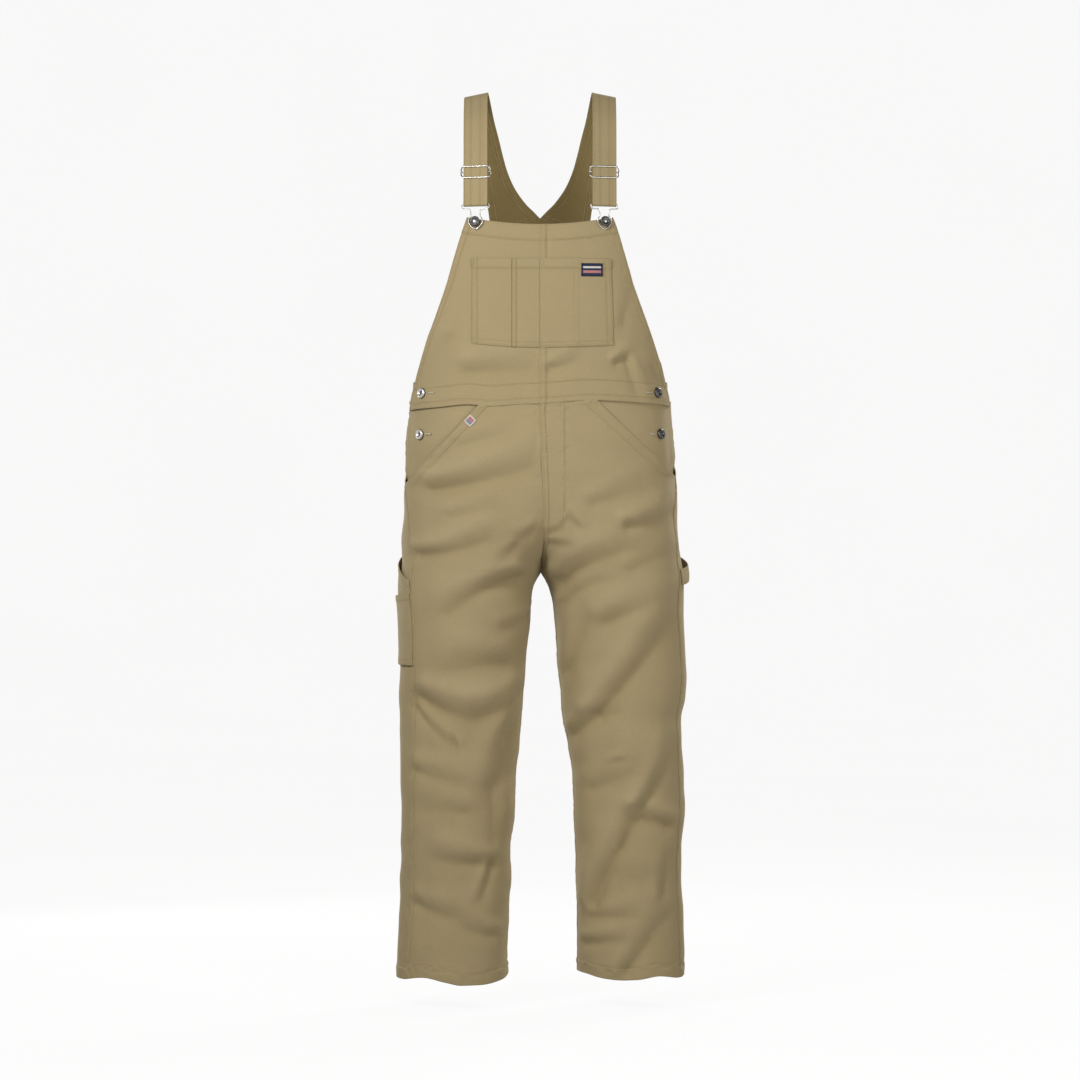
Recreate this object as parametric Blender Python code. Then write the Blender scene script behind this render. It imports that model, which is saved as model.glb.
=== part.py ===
# Bib overalls, worn-hollow on a general figure, built as thin cloth panels with their hardware.
# All sizes in the tables are millimetres. +Z up, the front faces -Y, the wearer's left is +X.
# The origin lies midway between the undersides of the two strap crests.
import math

import bmesh
import bpy
from mathutils import Vector

for old in list(bpy.data.objects):
    bpy.data.objects.remove(old, do_unlink=True)

MM = 0.001
CLOTH = 1.2          # thickness of one cloth wall
SEAM = 0.3           # gap between two pieces at a seam
LAYER = 0.6          # gap under a patch that lies on a panel
FACING = 2.6         # how far the cloth behind the hip pocket opening lies below the panel's face
STRAP_HALF = 1.0     # half the thickness of a folded strap
WIRE = 1.2           # radius of the wire of sliders and hooks
WAIST_Z = -501.0
FORK_Z = -772.0
HEM_Z = -1432.0
LEFT = 1
RIGHT = -1

# Trunk sections: half widths at the wearer's left and right, where the centre seam lies (shift, to the
# left), how far the two legs have parted (split, 0 is one oval, 1 is two), depth in front of and
# behind y = 0, and the exponent of the oval (1 is an ellipse, less is squarer).
TRUNK_COLUMNS = ("z", "left", "right", "shift", "split", "front", "back", "oval")
TRUNK = [
    (-100, 168, 168, 0, 0.00, 98, 88, 0.74),
    (-150, 173, 173, 0, 0.00, 104, 98, 0.74),
    (-205, 176, 176, 0, 0.00, 109, 104, 0.74),
    (-293, 184, 184, 0, 0.00, 115, 104, 0.75),
    (-353, 192, 192, 0, 0.00, 119, 101, 0.77),
    (-414, 202, 202, 0, 0.00, 121, 100, 0.79),
    (-475, 209, 208, 0, 0.00, 123, 104, 0.80),
    (-501, 211, 210, 0, 0.00, 124, 108, 0.81),
    (-560, 216, 216, 2, 0.06, 127, 120, 0.84),
    (-600, 220, 219, 4, 0.12, 127, 128, 0.86),
    (-640, 222, 221, 6, 0.22, 126, 132, 0.88),
    (-680, 223, 221, 7, 0.40, 124, 132, 0.90),
    (-711, 225, 223, 7, 0.60, 121, 129, 0.92),
    (-740, 227, 223, 5, 0.82, 118, 124, 0.94),
    (-758, 229, 224, 3, 0.95, 116, 120, 0.95),
    (-772, 231, 226, 2, 1.00, 114, 117, 0.96),
]

# Leg sections below the fork: distance of the inner and outer edge from the middle, for each leg.
LEG_COLUMNS = ("z", "in_left", "out_left", "in_right", "out_right", "front", "back", "oval")
LEG = [
    (-784, 9, 232, 5, 228, 112, 114, 0.96),
    (-800, 16, 233, 11, 229, 110, 110, 0.97),
    (-855, 24, 234, 15, 228, 104, 101, 0.97),
    (-916, 29, 236, 23, 227, 97, 94, 0.97),
    (-977, 36, 235, 27, 228, 91, 88, 0.97),
    (-1007, 40, 229, 29, 227, 88, 86, 0.97),
    (-1045, 46, 231, 32, 227, 85, 84, 0.97),
    (-1100, 52, 234, 37, 227, 81, 82, 0.97),
    (-1160, 54, 234, 42, 227, 77, 80, 0.97),
    (-1220, 57, 231, 47, 227, 74, 79, 0.97),
    (-1300, 60, 231, 50, 228, 71, 78, 0.97),
    (-1370, 61, 233, 52, 231, 69, 77, 0.97),
    (-1432, 62, 236, 54, 233, 68, 77, 0.97),
]

# Side seam, in degrees round the leg from the inside (0) over the front (90) to the outside (180).
SIDE_SEAM_COLUMNS = ("z", "left", "right")
SIDE_SEAM = [
    (-440, 178, 178),
    (-501, 178, 178),
    (-600, 174, 174),
    (-640, 168, 168),
    (-700, 163, 157),
    (-772, 159, 146),
    (-850, 157, 139),
    (-1432, 155, 138),
]

# Outer edge of the bib and of the back above the waist, and the lower edge of the yoke.
BIB_EDGE_COLUMNS = ("z", "x")
BIB_EDGE = [(-200, 110), (-232, 123), (-293, 144), (-353, 165), (-414, 187), (-450, 197), (-475, 203), (-505, 206)]
ARM_EDGE_COLUMNS = ("z", "x")
ARM_EDGE = [
    (-250, 80.5), (-290, 81), (-332, 89), (-365, 101), (-388, 112), (-410, 126), (-421, 136),
    (-435, 155), (-444, 171), (-452, 187), (-459, 200), (-466, 207),
]
YOKE_EDGE_COLUMNS = ("z", "x")
YOKE_EDGE = [(-256, 80), (-278, 49), (-299, 27), (-321, 13), (-343, 5.5), (-362, 2.2), (-381, 0.15)]

# Slant of the hip pocket opening, from the waist seam to the side seam: x and z at both ends.
SLANT = {LEFT: (90, -501, 217, -616), RIGHT: (96, -501, 219, -631)}

# Main folds. x counts outwards from the middle on the named side. deep is positive for a trough and
# negative for a ridge.
FOLD_COLUMNS = ("side", "face", "x1", "z1", "x2", "z2", "wide", "deep")
FOLDS = [
    (RIGHT, "front", 195, -642, 30, -596, 28, 5.0),
    (RIGHT, "front", 190, -741, 94, -714, 18, 4.0),
    (RIGHT, "front", 149, -819, 36, -782, 20, 6.0),
    (RIGHT, "front", 143, -891, 40, -950, 26, 5.0),
    (RIGHT, "front", 189, -969, 136, -916, 16, 3.5),
    (RIGHT, "front", 82, -982, 34, -962, 14, 4.5),
    (RIGHT, "front", 62, -1040, 64, -1310, 18, 3.5),
    (RIGHT, "front", 195, -1271, 130, -1258, 16, 3.0),
    (RIGHT, "front", 88, -1200, 92, -1290, 16, -2.5),
    (LEFT, "front", 138, -684, 195, -678, 16, 3.5),
    (LEFT, "front", 32, -790, 140, -730, 18, 6.0),
    (LEFT, "front", 36, -893, 88, -878, 14, 4.0),
    (LEFT, "front", 69, -992, 136, -901, 20, 6.0),
    (LEFT, "front", 136, -901, 200, -828, 18, 5.0),
    (LEFT, "front", 56, -1030, 113, -988, 16, 5.0),
    (LEFT, "front", 159, -1151, 200, -1083, 14, 4.0),
    (LEFT, "front", 77, -1305, 155, -1170, 20, 6.0),
    (LEFT, "front", 155, -1170, 205, -1161, 16, 4.5),
    (LEFT, "front", 90, -1357, 151, -1357, 16, 2.5),
    (RIGHT, "front", 150, -443, 12, -437, 14, 2.5),
    (LEFT, "front", 132, -433, 150, -488, 14, -2.5),
    (LEFT, "back", 106, -414, 10, -390, 18, 4.5),
    (LEFT, "back", 10, -724, 28, -767, 14, 4.5),
    (LEFT, "back", 180, -834, 81, -878, 20, 4.5),
    (LEFT, "back", 184, -960, 95, -951, 16, 4.0),
    (LEFT, "back", 81, -1032, 40, -1047, 14, 4.0),
    (LEFT, "back", 196, -1121, 81, -1105, 18, 4.0),
    (LEFT, "back", 100, -1074, 42, -1114, 18, 7.0),
    (LEFT, "back", 121, -1243, 64, -1143, 18, 4.5),
    (RIGHT, "back", 16, -398, 86, -390, 16, 4.0),
    (RIGHT, "back", 12, -443, 68, -424, 16, 4.0),
    (RIGHT, "back", 43, -486, 79, -486, 16, 3.0),
    (RIGHT, "back", 21, -748, 72, -748, 14, 4.0),
    (RIGHT, "back", 30, -831, 61, -786, 14, 4.0),
    (RIGHT, "back", 90, -795, 146, -795, 16, 3.0),
    (RIGHT, "back", 61, -1032, 104, -980, 18, 5.0),
    (RIGHT, "back", 104, -980, 205, -958, 18, 5.0),
    (RIGHT, "back", 171, -1090, 212, -1005, 16, 4.0),
    (RIGHT, "back", 76, -1136, 124, -1121, 14, 3.5),
]

# Strap, wearer's left, from the seam on the yoke over the shoulder to the front: inner and outer edge.
# Rows without y lie on the back's own surface.
STRAP_COLUMNS = ("x_in", "y_in", "z_in", "x_out", "y_out", "z_out")
STRAP = [
    (0.8, None, -187.6, 81.5, None, -220.7),
    (10, None, -178, 82.5, None, -201),
    (25, None, -163, 85, None, -180),
    (42, 95.5, -139, 89, 91.5, -153),
    (54, 89, -112, 93.5, 85.5, -123),
    (61.5, 79, -86, 99.5, 76.5, -95),
    (68, 67, -60, 106, 64.5, -69),
    (74.5, 52, -36, 112.5, 49.5, -45),
    (79.5, 33, -13, 117.5, 31, -22),
    (82.5, 13, 1, 120.5, 11, -7),
    (84.0, -8, 5, 122, -9, -3),
    (84.6, -28, -1, 122.6, -28, -9),
    (84.6, -48, -17, 122.6, -47, -25),
    (84.5, -70, -42, 122.5, -67, -48),
    (84.3, -87, -72, 122.3, -82, -76),
]
STRAP_END_Z = -184.0       # axis of the hook's bar, inside the strap's loop
SLIDER_Z = -132.0
STRAP_LOOP = 2.6           # radius of the strap's middle round the bar
STRAP_MIDDLE = 103.0
BUTTON_Z = -211.5

# Bib button and side button outlines: radius and height above the cloth.
BIB_BUTTON = [(3.3, 0.3), (3.3, 4.5), (7.6, 4.6), (8.3, 5.4), (8.0, 7.0), (5.6, 7.9), (2.4, 7.0)]
SIDE_BUTTON = [(3.0, 0.3), (3.0, 1.8), (7.8, 1.9), (8.6, 2.9), (7.4, 4.6), (4.6, 5.3), (2.4, 4.6), (1.9, 2.9)]
RIVET = [(5.2, 0.3), (5.2, 0.9), (3.6, 1.9), (1.8, 2.3)]


class Track:
    """A smooth curve through given points that never overshoots them."""

    def __init__(self, xs, ys):
        pairs = sorted(zip(xs, ys))
        self.x = [p[0] for p in pairs]
        self.y = [p[1] for p in pairs]
        n = len(self.x)
        h = [self.x[i + 1] - self.x[i] for i in range(n - 1)]
        d = [(self.y[i + 1] - self.y[i]) / h[i] for i in range(n - 1)]
        self.m = [0.0] * n
        self.m[0] = d[0]
        self.m[-1] = d[-1]
        for i in range(1, n - 1):
            if d[i - 1] * d[i] > 0:
                w1 = 2 * h[i] + h[i - 1]
                w2 = h[i] + 2 * h[i - 1]
                self.m[i] = (w1 + w2) / (w1 / d[i - 1] + w2 / d[i])

    def __call__(self, x):
        if x <= self.x[0]:
            return self.y[0]
        if x >= self.x[-1]:
            return self.y[-1]
        i = 0
        while self.x[i + 1] < x:
            i += 1
        h = self.x[i + 1] - self.x[i]
        t = (x - self.x[i]) / h
        a = (1 + 2 * t) * (1 - t) ** 2 * self.y[i]
        b = t * (1 - t) ** 2 * h * self.m[i]
        c = t * t * (3 - 2 * t) * self.y[i + 1]
        e = t * t * (t - 1) * h * self.m[i + 1]
        return a + b + c + e


def track(rows, columns, name, key="z"):
    k = columns.index(key)
    v = columns.index(name)
    return Track([r[k] for r in rows], [r[v] for r in rows])


def leg_tracks(side):
    which = "left" if side > 0 else "right"
    zs = []
    middle = []
    half = []
    centre = []
    for row in TRUNK:
        r = dict(zip(TRUNK_COLUMNS, row))
        shift = side * r["shift"]
        a = (r[which] - shift) / (1 + r["split"])
        zs.append(r["z"])
        half.append(a)
        middle.append(r["split"] * a + shift)
        centre.append(shift)
    for row in LEG:
        r = dict(zip(LEG_COLUMNS, row))
        zs.append(r["z"])
        half.append((r["out_" + which] - r["in_" + which]) / 2)
        middle.append((r["out_" + which] + r["in_" + which]) / 2)
        centre.append(centre[len(TRUNK) - 1])
    front = [r[TRUNK_COLUMNS.index("front")] for r in TRUNK] + [r[LEG_COLUMNS.index("front")] for r in LEG]
    back = [r[TRUNK_COLUMNS.index("back")] for r in TRUNK] + [r[LEG_COLUMNS.index("back")] for r in LEG]
    oval = [r[TRUNK_COLUMNS.index("oval")] for r in TRUNK] + [r[LEG_COLUMNS.index("oval")] for r in LEG]
    return {
        "middle": Track(zs, middle),
        "half": Track(zs, half),
        "centre": Track(zs, centre),
        "front": Track(zs, front),
        "back": Track(zs, back),
        "oval": Track(zs, oval),
        "seam": track(SIDE_SEAM, SIDE_SEAM_COLUMNS, which),
    }


BODY = {LEFT: leg_tracks(LEFT), RIGHT: leg_tracks(RIGHT)}
BIB_X = track(BIB_EDGE, BIB_EDGE_COLUMNS, "x")
ARM_X = track(ARM_EDGE, ARM_EDGE_COLUMNS, "x")
YOKE_X = track(YOKE_EDGE, YOKE_EDGE_COLUMNS, "x")


def power(value, exponent):
    return math.copysign(abs(value) ** exponent, value)


def angle_at(side, z, x, face):
    """The angle round the section where the cloth is x millimetres out from the middle."""
    b = BODY[side]
    ratio = (b["middle"](z) - x) / b["half"](z)
    ratio = max(-1.0, min(1.0, ratio))
    t = math.acos(max(-1.0, min(1.0, power(ratio, 1 / b["oval"](z)))))
    if face == "front":
        return t
    return 2 * math.pi - t


def centre_angle(side, z):
    """The front angle of the centre seam above the fork, and of the inseam below it."""
    b = BODY[side]
    depth = (b["front"](z) + b["back"](z)) / 2
    least = SEAM / 2 / depth
    if z <= FORK_Z:
        return least
    return max(least, angle_at(side, z, b["centre"](z) + SEAM / 2, "front"))


def seam_angle(side, z):
    return math.radians(BODY[side]["seam"](z))


def fold_depth(side, face, x, z):
    total = 0.0
    for row in FOLDS:
        f = dict(zip(FOLD_COLUMNS, row))
        if f["side"] != side or f["face"] != face:
            continue
        dx = f["x2"] - f["x1"]
        dz = f["z2"] - f["z1"]
        s = ((x - f["x1"]) * dx + (z - f["z1"]) * dz) / (dx * dx + dz * dz)
        s = max(0.0, min(1.0, s))
        gap = math.hypot(x - f["x1"] - s * dx, z - f["z1"] - s * dz) / f["wide"]
        if gap < 3.5:
            total -= f["deep"] * (1 - 0.4 * gap * gap) * math.exp(-gap * gap)
    return total


def skin(side, z, t):
    b = BODY[side]
    p = b["oval"](z)
    depth = (b["front"](z) + b["back"](z)) / 2
    y_mid = (b["back"](z) - b["front"](z)) / 2
    half = b["half"](z)
    c = math.cos(t)
    s = math.sin(t)
    x = b["middle"](z) - half * power(c, p)
    y = y_mid - depth * power(s, p)
    face = "front" if s > 0 else "back"
    amount = fold_depth(side, face, x, z) * min(1.0, 1.6 * abs(s)) ** 0.8
    if amount:
        out = Vector((-c * depth, -s * half))
        out.normalize()
        x += out.x * amount
        y += out.y * amount
    return Vector((side * x, y, z))


def outward(side, z, t):
    dt = 0.012
    dz = 2.0
    lean = skin(side, z + dz, t) - skin(side, z - dz, t)
    turn = skin(side, z, t + dt) - skin(side, z, t - dt)
    n = lean.cross(turn)
    n.normalize()
    b = BODY[side]
    rough = Vector((-side * math.cos(t) * 1.0, -math.sin(t), 0))
    if n.dot(rough) < 0:
        n.negate()
    return n


MATERIALS = {}


def material(name, colour, rough, metal=0.0):
    if name not in MATERIALS:
        m = bpy.data.materials.new(name)
        m.use_nodes = True
        shader = m.node_tree.nodes["Principled BSDF"]
        shader.inputs["Base Color"].default_value = (colour[0], colour[1], colour[2], 1.0)
        shader.inputs["Roughness"].default_value = rough
        shader.inputs["Metallic"].default_value = metal
        MATERIALS[name] = m
    return MATERIALS[name]


KHAKI = ("khaki_twill", (0.30, 0.235, 0.12), 0.9, 0.0)
NICKEL = ("nickel_wire", (0.62, 0.61, 0.58), 0.28, 1.0)
GUNMETAL = ("gunmetal", (0.05, 0.05, 0.055), 0.35, 1.0)
SILVER = ("silver_cap", (0.50, 0.50, 0.48), 0.32, 1.0)
NAVY = ("navy_label", (0.02, 0.03, 0.09), 0.85, 0.0)
ROSE = ("rose_tag", (0.35, 0.10, 0.12), 0.85, 0.0)
REFLEX = ("grey_reflex", (0.22, 0.21, 0.19), 0.5, 0.0)


def add_object(name, verts, faces, look):
    mesh = bpy.data.meshes.new(name)
    mesh.from_pydata([tuple(v * MM) for v in verts], [], faces)
    bm = bmesh.new()
    bm.from_mesh(mesh)
    bmesh.ops.triangulate(bm, faces=bm.faces[:])
    bmesh.ops.recalc_face_normals(bm, faces=bm.faces[:])
    bm.to_mesh(mesh)
    bm.free()
    mesh.materials.append(material(*look))
    ob = bpy.data.objects.new(name, mesh)
    bpy.context.scene.collection.objects.link(ob)
    return ob


def wall(name, points, normals, low, high, look=KHAKI):
    """A closed wall between two skins that lie low and high millimetres off a grid of points."""
    rows = len(points)
    cols = len(points[0])
    verts = []
    for r in range(rows):
        for c in range(cols):
            lo = low(r, c) if callable(low) else low
            verts.append(points[r][c] + normals[r][c] * lo)
    for r in range(rows):
        for c in range(cols):
            hi = high(r, c) if callable(high) else high
            verts.append(points[r][c] + normals[r][c] * hi)
    base = rows * cols
    faces = []
    for r in range(rows - 1):
        for c in range(cols - 1):
            i = r * cols + c
            quad = (i, i + 1, i + cols + 1, i + cols)
            faces.append(tuple(reversed(quad)))
            faces.append(tuple(base + k for k in quad))
    for r in range(rows - 1):
        i = r * cols
        faces.append((i, i + cols, base + i + cols, base + i))
        j = i + cols - 1
        faces.append((j + cols, j, base + j, base + j + cols))
    for c in range(cols - 1):
        i = c
        faces.append((i + 1, i, base + i, base + i + 1))
        j = (rows - 1) * cols + c
        faces.append((j, j + 1, base + j + 1, base + j))
    return add_object(name, verts, faces, look)


def skin_wall(name, side, grid, low, high, look=KHAKI):
    """A wall on the body's surface, from rows of (z, angle)."""
    points = [[skin(side, z, t) for z, t in row] for row in grid]
    normals = [[outward(side, z, t) for z, t in row] for row in grid]
    return wall(name, points, normals, low, high, look)


def spread(a, b, count):
    return [a + (b - a) * i / (count - 1) for i in range(count)]


def hem_drop(side, z, t):
    fade = max(0.0, min(1.0, (-1300 - z) / 132))
    drop = 9 * math.cos(2 * t)
    if side > 0:
        drop += 5 * math.cos(t)
    return drop * fade * fade


def bib_top(x):
    return -216 + 11 * (x / 112) ** 2


# ---------------------------------------------------------------- bib and its pocket
BIB_ROWS = [-216, -232, -252, -276, -306, -336, -366, -396, -426, -452, -476, WAIST_Z + SEAM / 2]


def bib_grid(side, rows, cols, inset):
    grid = []
    for z in rows:
        row = []
        edge = BIB_X(z) - inset
        for k in range(cols):
            x = edge * k / (cols - 1)
            x = max(x, SEAM / 2)
            fade = max(0.0, 1 - (-216 - z) / 90)
            zz = z + (bib_top(x) + 216) * fade
            row.append((zz, angle_at(side, zz, x, "front")))
        grid.append(row)
    return grid


for side, label in ((LEFT, "left"), (RIGHT, "right")):
    skin_wall("bib_" + label, side, bib_grid(side, BIB_ROWS, 11, 0.0), -CLOTH, 0.0)


def both_sides(rows, cols, inset, level_low, level_high, name):
    left = bib_grid(LEFT, rows, cols, inset)
    points = []
    normals = []
    for row in left:
        prow = []
        nrow = []
        for z, t in reversed(row):
            prow.append(skin(RIGHT, z, angle_at(RIGHT, z, abs(skin(LEFT, z, t).x), "front")))
            nrow.append(outward(RIGHT, z, angle_at(RIGHT, z, abs(skin(LEFT, z, t).x), "front")))
        for z, t in row[1:]:
            prow.append(skin(LEFT, z, t))
            nrow.append(outward(LEFT, z, t))
        points.append(prow)
        normals.append(nrow)
    wall(name, points, normals, level_low, level_high)


both_sides([-216.5, -232, -245], 9, 4.0, -CLOTH - LAYER - CLOTH, -CLOTH - LAYER, "bib_facing")


def patch(name, side, face, corners, rows, cols, low, high, look=KHAKI):
    """A patch between four corners (x, z): top inner, top outer, bottom outer, bottom inner."""
    ti, to, bo, bi = corners
    grid = []
    for r in range(rows):
        v = r / (rows - 1)
        zi = ti[1] + (bi[1] - ti[1]) * v
        zo = to[1] + (bo[1] - to[1]) * v
        xi = ti[0] + (bi[0] - ti[0]) * v
        xo = to[0] + (bo[0] - to[0]) * v
        a = angle_at(side, zi, xi, face)
        b = angle_at(side, zo, xo, face)
        row = []
        for c in range(cols):
            u = c / (cols - 1)
            row.append((zi + (zo - zi) * u, a + (b - a) * u))
        grid.append(row)
    return skin_wall(name, side, grid, low, high, look)


PATCH_LOW = LAYER
PATCH_HIGH = LAYER + CLOTH
patch("bib_pocket_left", LEFT, "front", ((0.3, -271), (113, -271), (118, -410), (0.3, -414)),
      7, 9, PATCH_LOW, PATCH_HIGH)
patch("bib_pocket_right", RIGHT, "front", ((0.3, -271), (44.4, -271), (44.4, -413), (0.3, -414)),
      7, 5, PATCH_LOW, PATCH_HIGH)
patch("bib_pocket_pen", RIGHT, "front", ((44.8, -271), (109, -270), (109, -407), (44.8, -413)),
      7, 6, PATCH_LOW, PATCH_HIGH)
patch("bib_label", LEFT, "front", ((65.5, -279), (99.5, -279), (99.5, -300), (65.5, -300)),
      2, 3, PATCH_HIGH + 0.4, PATCH_HIGH + 1.1, NAVY)

# ---------------------------------------------------------------- front legs
LEG_TOP = WAIST_Z - SEAM / 2
LEG_ROWS = {
    LEFT: [LEG_TOP, -526, -552, -574, -592, -604, -611, -616, -640, -668, -696, -722, -744, -760, -772, -788, -810],
    RIGHT: [LEG_TOP, -528, -556, -582, -603, -617, -626, -631, -652, -676, -700, -722, -744, -760, -772, -788, -810],
}
LOW_ROWS = [-838, -868, -898, -928, -958, -990, -1022, -1056, -1090, -1126, -1164, -1204, -1248, -1294,
            -1342, -1390, HEM_Z]


def slant_x(side, z):
    x1, z1, x2, z2 = SLANT[side]
    return x1 + (x2 - x1) * (z - z1) / (z2 - z1)


def front_outer(side, z):
    seam = seam_angle(side, z) - SEAM / 200
    if z > SLANT[side][3]:
        return min(seam, angle_at(side, z, slant_x(side, z), "front"))
    return seam


for side, label in ((LEFT, "left"), (RIGHT, "right")):
    grid = []
    for z in LEG_ROWS[side] + LOW_ROWS:
        a = centre_angle(side, z)
        b = front_outer(side, z)
        grid.append([(z + hem_drop(side, z, t), t) for t in spread(a, b, 12)])
    skin_wall("front_leg_" + label, side, grid, -CLOTH, 0.0)



def facing_high(r, c):
    return -FACING - 1.6 * (r / 7) ** 2


def facing_low(r, c):
    return facing_high(r, c) - CLOTH


for side, label in ((LEFT, "left"), (RIGHT, "right")):
    z_end = SLANT[side][3] - 4
    grid = []
    for z in spread(LEG_TOP - 0.6, z_end, 8):
        a = angle_at(side, z, slant_x(side, z) - 15, "front")
        b = seam_angle(side, z) - 0.006
        grid.append([(z, t) for t in spread(a, b, 9)])
    skin_wall("hip_facing_" + label, side, grid, facing_low, facing_high)

# ---------------------------------------------------------------- back
BACK_TOP_ROWS = [-257, -270, -286, -306, -330, -354, -374, -392, -408, -421, -432, -441, -450, -458, -466,
                 -484, -504, -530]
BACK_HIP_ROWS = [-558, -586, -614]


def back_inner(side, z):
    if z > -381:
        return angle_at(side, z, YOKE_X(z) + 2 * SEAM, "back")
    return 2 * math.pi - centre_angle(side, z)


def back_outer(side, z):
    if z > -466:
        return angle_at(side, z, ARM_X(z), "back")
    return seam_angle(side, z) + SEAM / 200


for side, label in ((LEFT, "left"), (RIGHT, "right")):
    grid = []
    for z in BACK_TOP_ROWS + BACK_HIP_ROWS + LEG_ROWS[side][8:] + LOW_ROWS:
        a = back_outer(side, z)
        b = back_inner(side, z)
        if z == -257:
            a = angle_at(side, z, 80.2, "back")
            b = angle_at(side, z, 78.9, "back")
        grid.append([(z + hem_drop(side, z, t), t) for t in spread(a, b, 13)])
    skin_wall("back_" + label, side, grid, -CLOTH, 0.0)

YOKE_COLUMNS_X = [80.3, 65, 50, 38, 28, 18, 10, 5]
YOKE_DROP = Track([p[1] for p in YOKE_EDGE], [p[0] for p in YOKE_EDGE])


def yoke_z(x, v):
    top = -187.9 - 0.41 * abs(x)
    low = YOKE_DROP(abs(x))
    if x == 0:
        low = -378
    return top + (low - top) * v


points = []
normals = []
for v in spread(0, 1, 6):
    prow = []
    nrow = []
    for x in [-x for x in YOKE_COLUMNS_X] + [0] + list(reversed(YOKE_COLUMNS_X)):
        side = LEFT if x >= 0 else RIGHT
        z = yoke_z(x, v)
        t = angle_at(side, z, abs(x), "back")
        prow.append(skin(side, z, t))
        nrow.append(outward(side, z, t))
    points.append(prow)
    normals.append(nrow)
wall("back_yoke", points, normals, -CLOTH, 0.0)

# ---------------------------------------------------------------- pockets on the back and the leg
BACK_POCKET = {
    LEFT: ((64, -541), (205, -557), (201, -727), (52, -717)),
    RIGHT: ((66, -537), (208, -555), (210, -718), (62.5, -704)),
}
BACK_LOW = 0.8
BACK_HIGH = 0.8 + CLOTH
for side, label in ((LEFT, "left"), (RIGHT, "right")):
    patch("back_pocket_" + label, side, "back", BACK_POCKET[side], 8, 10, BACK_LOW, BACK_HIGH)


def under_pocket(side, x, gap):
    inner = BACK_POCKET[side][3]
    outer = BACK_POCKET[side][2]
    return inner[1] + (outer[1] - inner[1]) * (x - inner[0]) / (outer[0] - inner[0]) - gap


for side, label, x1, x2 in ((LEFT, "left", 62, 150), (RIGHT, "right", 70, 157)):
    strip = ((x1, under_pocket(side, x1, 0.9)), (x2, under_pocket(side, x2, 0.9)),
             (x2, under_pocket(side, x2, 5.4)), (x1, under_pocket(side, x1, 5.4)))
    patch("reflective_trim_" + label, side, "back", strip, 2, 7, 0.7, 1.9, REFLEX)

TOOL_BOTTOM = -922
TOOL_EDGE = Track([-724, -815, -922], [173, 190, 208])


def tool_grid(top_front, top_side, top_back, rows, cols, inset):
    grid = []
    for r in range(rows):
        v = r / (rows - 1)
        row = []
        for c in range(cols):
            u = c / (cols - 1)
            top = top_front + (top_side - top_front) * min(1, 2 * u) + (top_back - top_side) * max(0, 2 * u - 1)
            z = top + (TOOL_BOTTOM - top) * v
            a = seam_angle(RIGHT, z) + 0.004 + inset / 110
            b = angle_at(RIGHT, z, TOOL_EDGE(z) + inset, "back")
            row.append((z, a + (b - a) * u))
        grid.append(row)
    return grid


GAPE = (1.0, 0.3)


def gape(r, c, most):
    share = GAPE[r] if r < len(GAPE) else 0.0
    return most * share * math.sin(math.pi * (0.12 + 0.6 * c / 8))


def gape_low(r, c):
    return 0.9 + gape(r, c, 4.5)


def gape_high(r, c):
    return gape_low(r, c) + CLOTH


skin_wall("tool_pocket", RIGHT, tool_grid(-786, -750, -724, 9, 9, 0.0), gape_low, gape_high)

def small_low(r, c):
    return 0.9 + CLOTH + 0.7 + gape(r, c, 1.8)


def small_high(r, c):
    return small_low(r, c) + CLOTH


skin_wall("tool_pocket_small", RIGHT, tool_grid(-806, -811, -815, 5, 9, 1.5), small_low, small_high)

# Hammer loop: upper and lower edge as angle and height, and how far it stands off the leg.
LOOP_COLUMNS = ("at", "deg_a", "z_a", "deg_b", "z_b", "off")
LOOP = [
    (0.0, 213, -728.6, 221, -729.6, 1.8),
    (0.3, 204, -744, 214, -760, 8.5),
    (0.6, 190, -757, 196, -781, 11.0),
    (0.8, 176, -764, 179, -788, 8.0),
    (1.0, 160.5, -768, 160.5, -793, 1.8),
]
loop = {name: track(LOOP, LOOP_COLUMNS, name, "at") for name in LOOP_COLUMNS[1:]}
points = []
normals = []
for at in spread(0, 1, 13):
    prow = []
    nrow = []
    for w in (0.0, 0.5, 1.0):
        t = math.radians(loop["deg_a"](at) + (loop["deg_b"](at) - loop["deg_a"](at)) * w)
        z = loop["z_a"](at) + (loop["z_b"](at) - loop["z_a"](at)) * w
        n = outward(LEFT, z, t)
        prow.append(skin(LEFT, z, t) + n * loop["off"](at))
        nrow.append(n)
    points.append(prow)
    normals.append(nrow)
wall("hammer_loop", points, normals, -1.0, 1.0)

# ---------------------------------------------------------------- straps


def bib_y(x):
    z = BUTTON_Z
    return skin(LEFT, z, angle_at(LEFT, z, x, "front")).y


Y_IN = bib_y(STRAP_MIDDLE - 19)
Y_OUT = bib_y(STRAP_MIDDLE + 19)


def strap_plane(x):
    """The bib's face under the strap's end, taken straight across the strap."""
    return Y_IN + (Y_OUT - Y_IN) * (x - STRAP_MIDDLE + 19) / 38


def strap_front_y(x, z):
    """Middle of the strap's front layer between the slider and the hook."""
    return strap_plane(x) - 7.9 + 8.0 * (z - STRAP_END_Z) / 55.0


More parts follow.
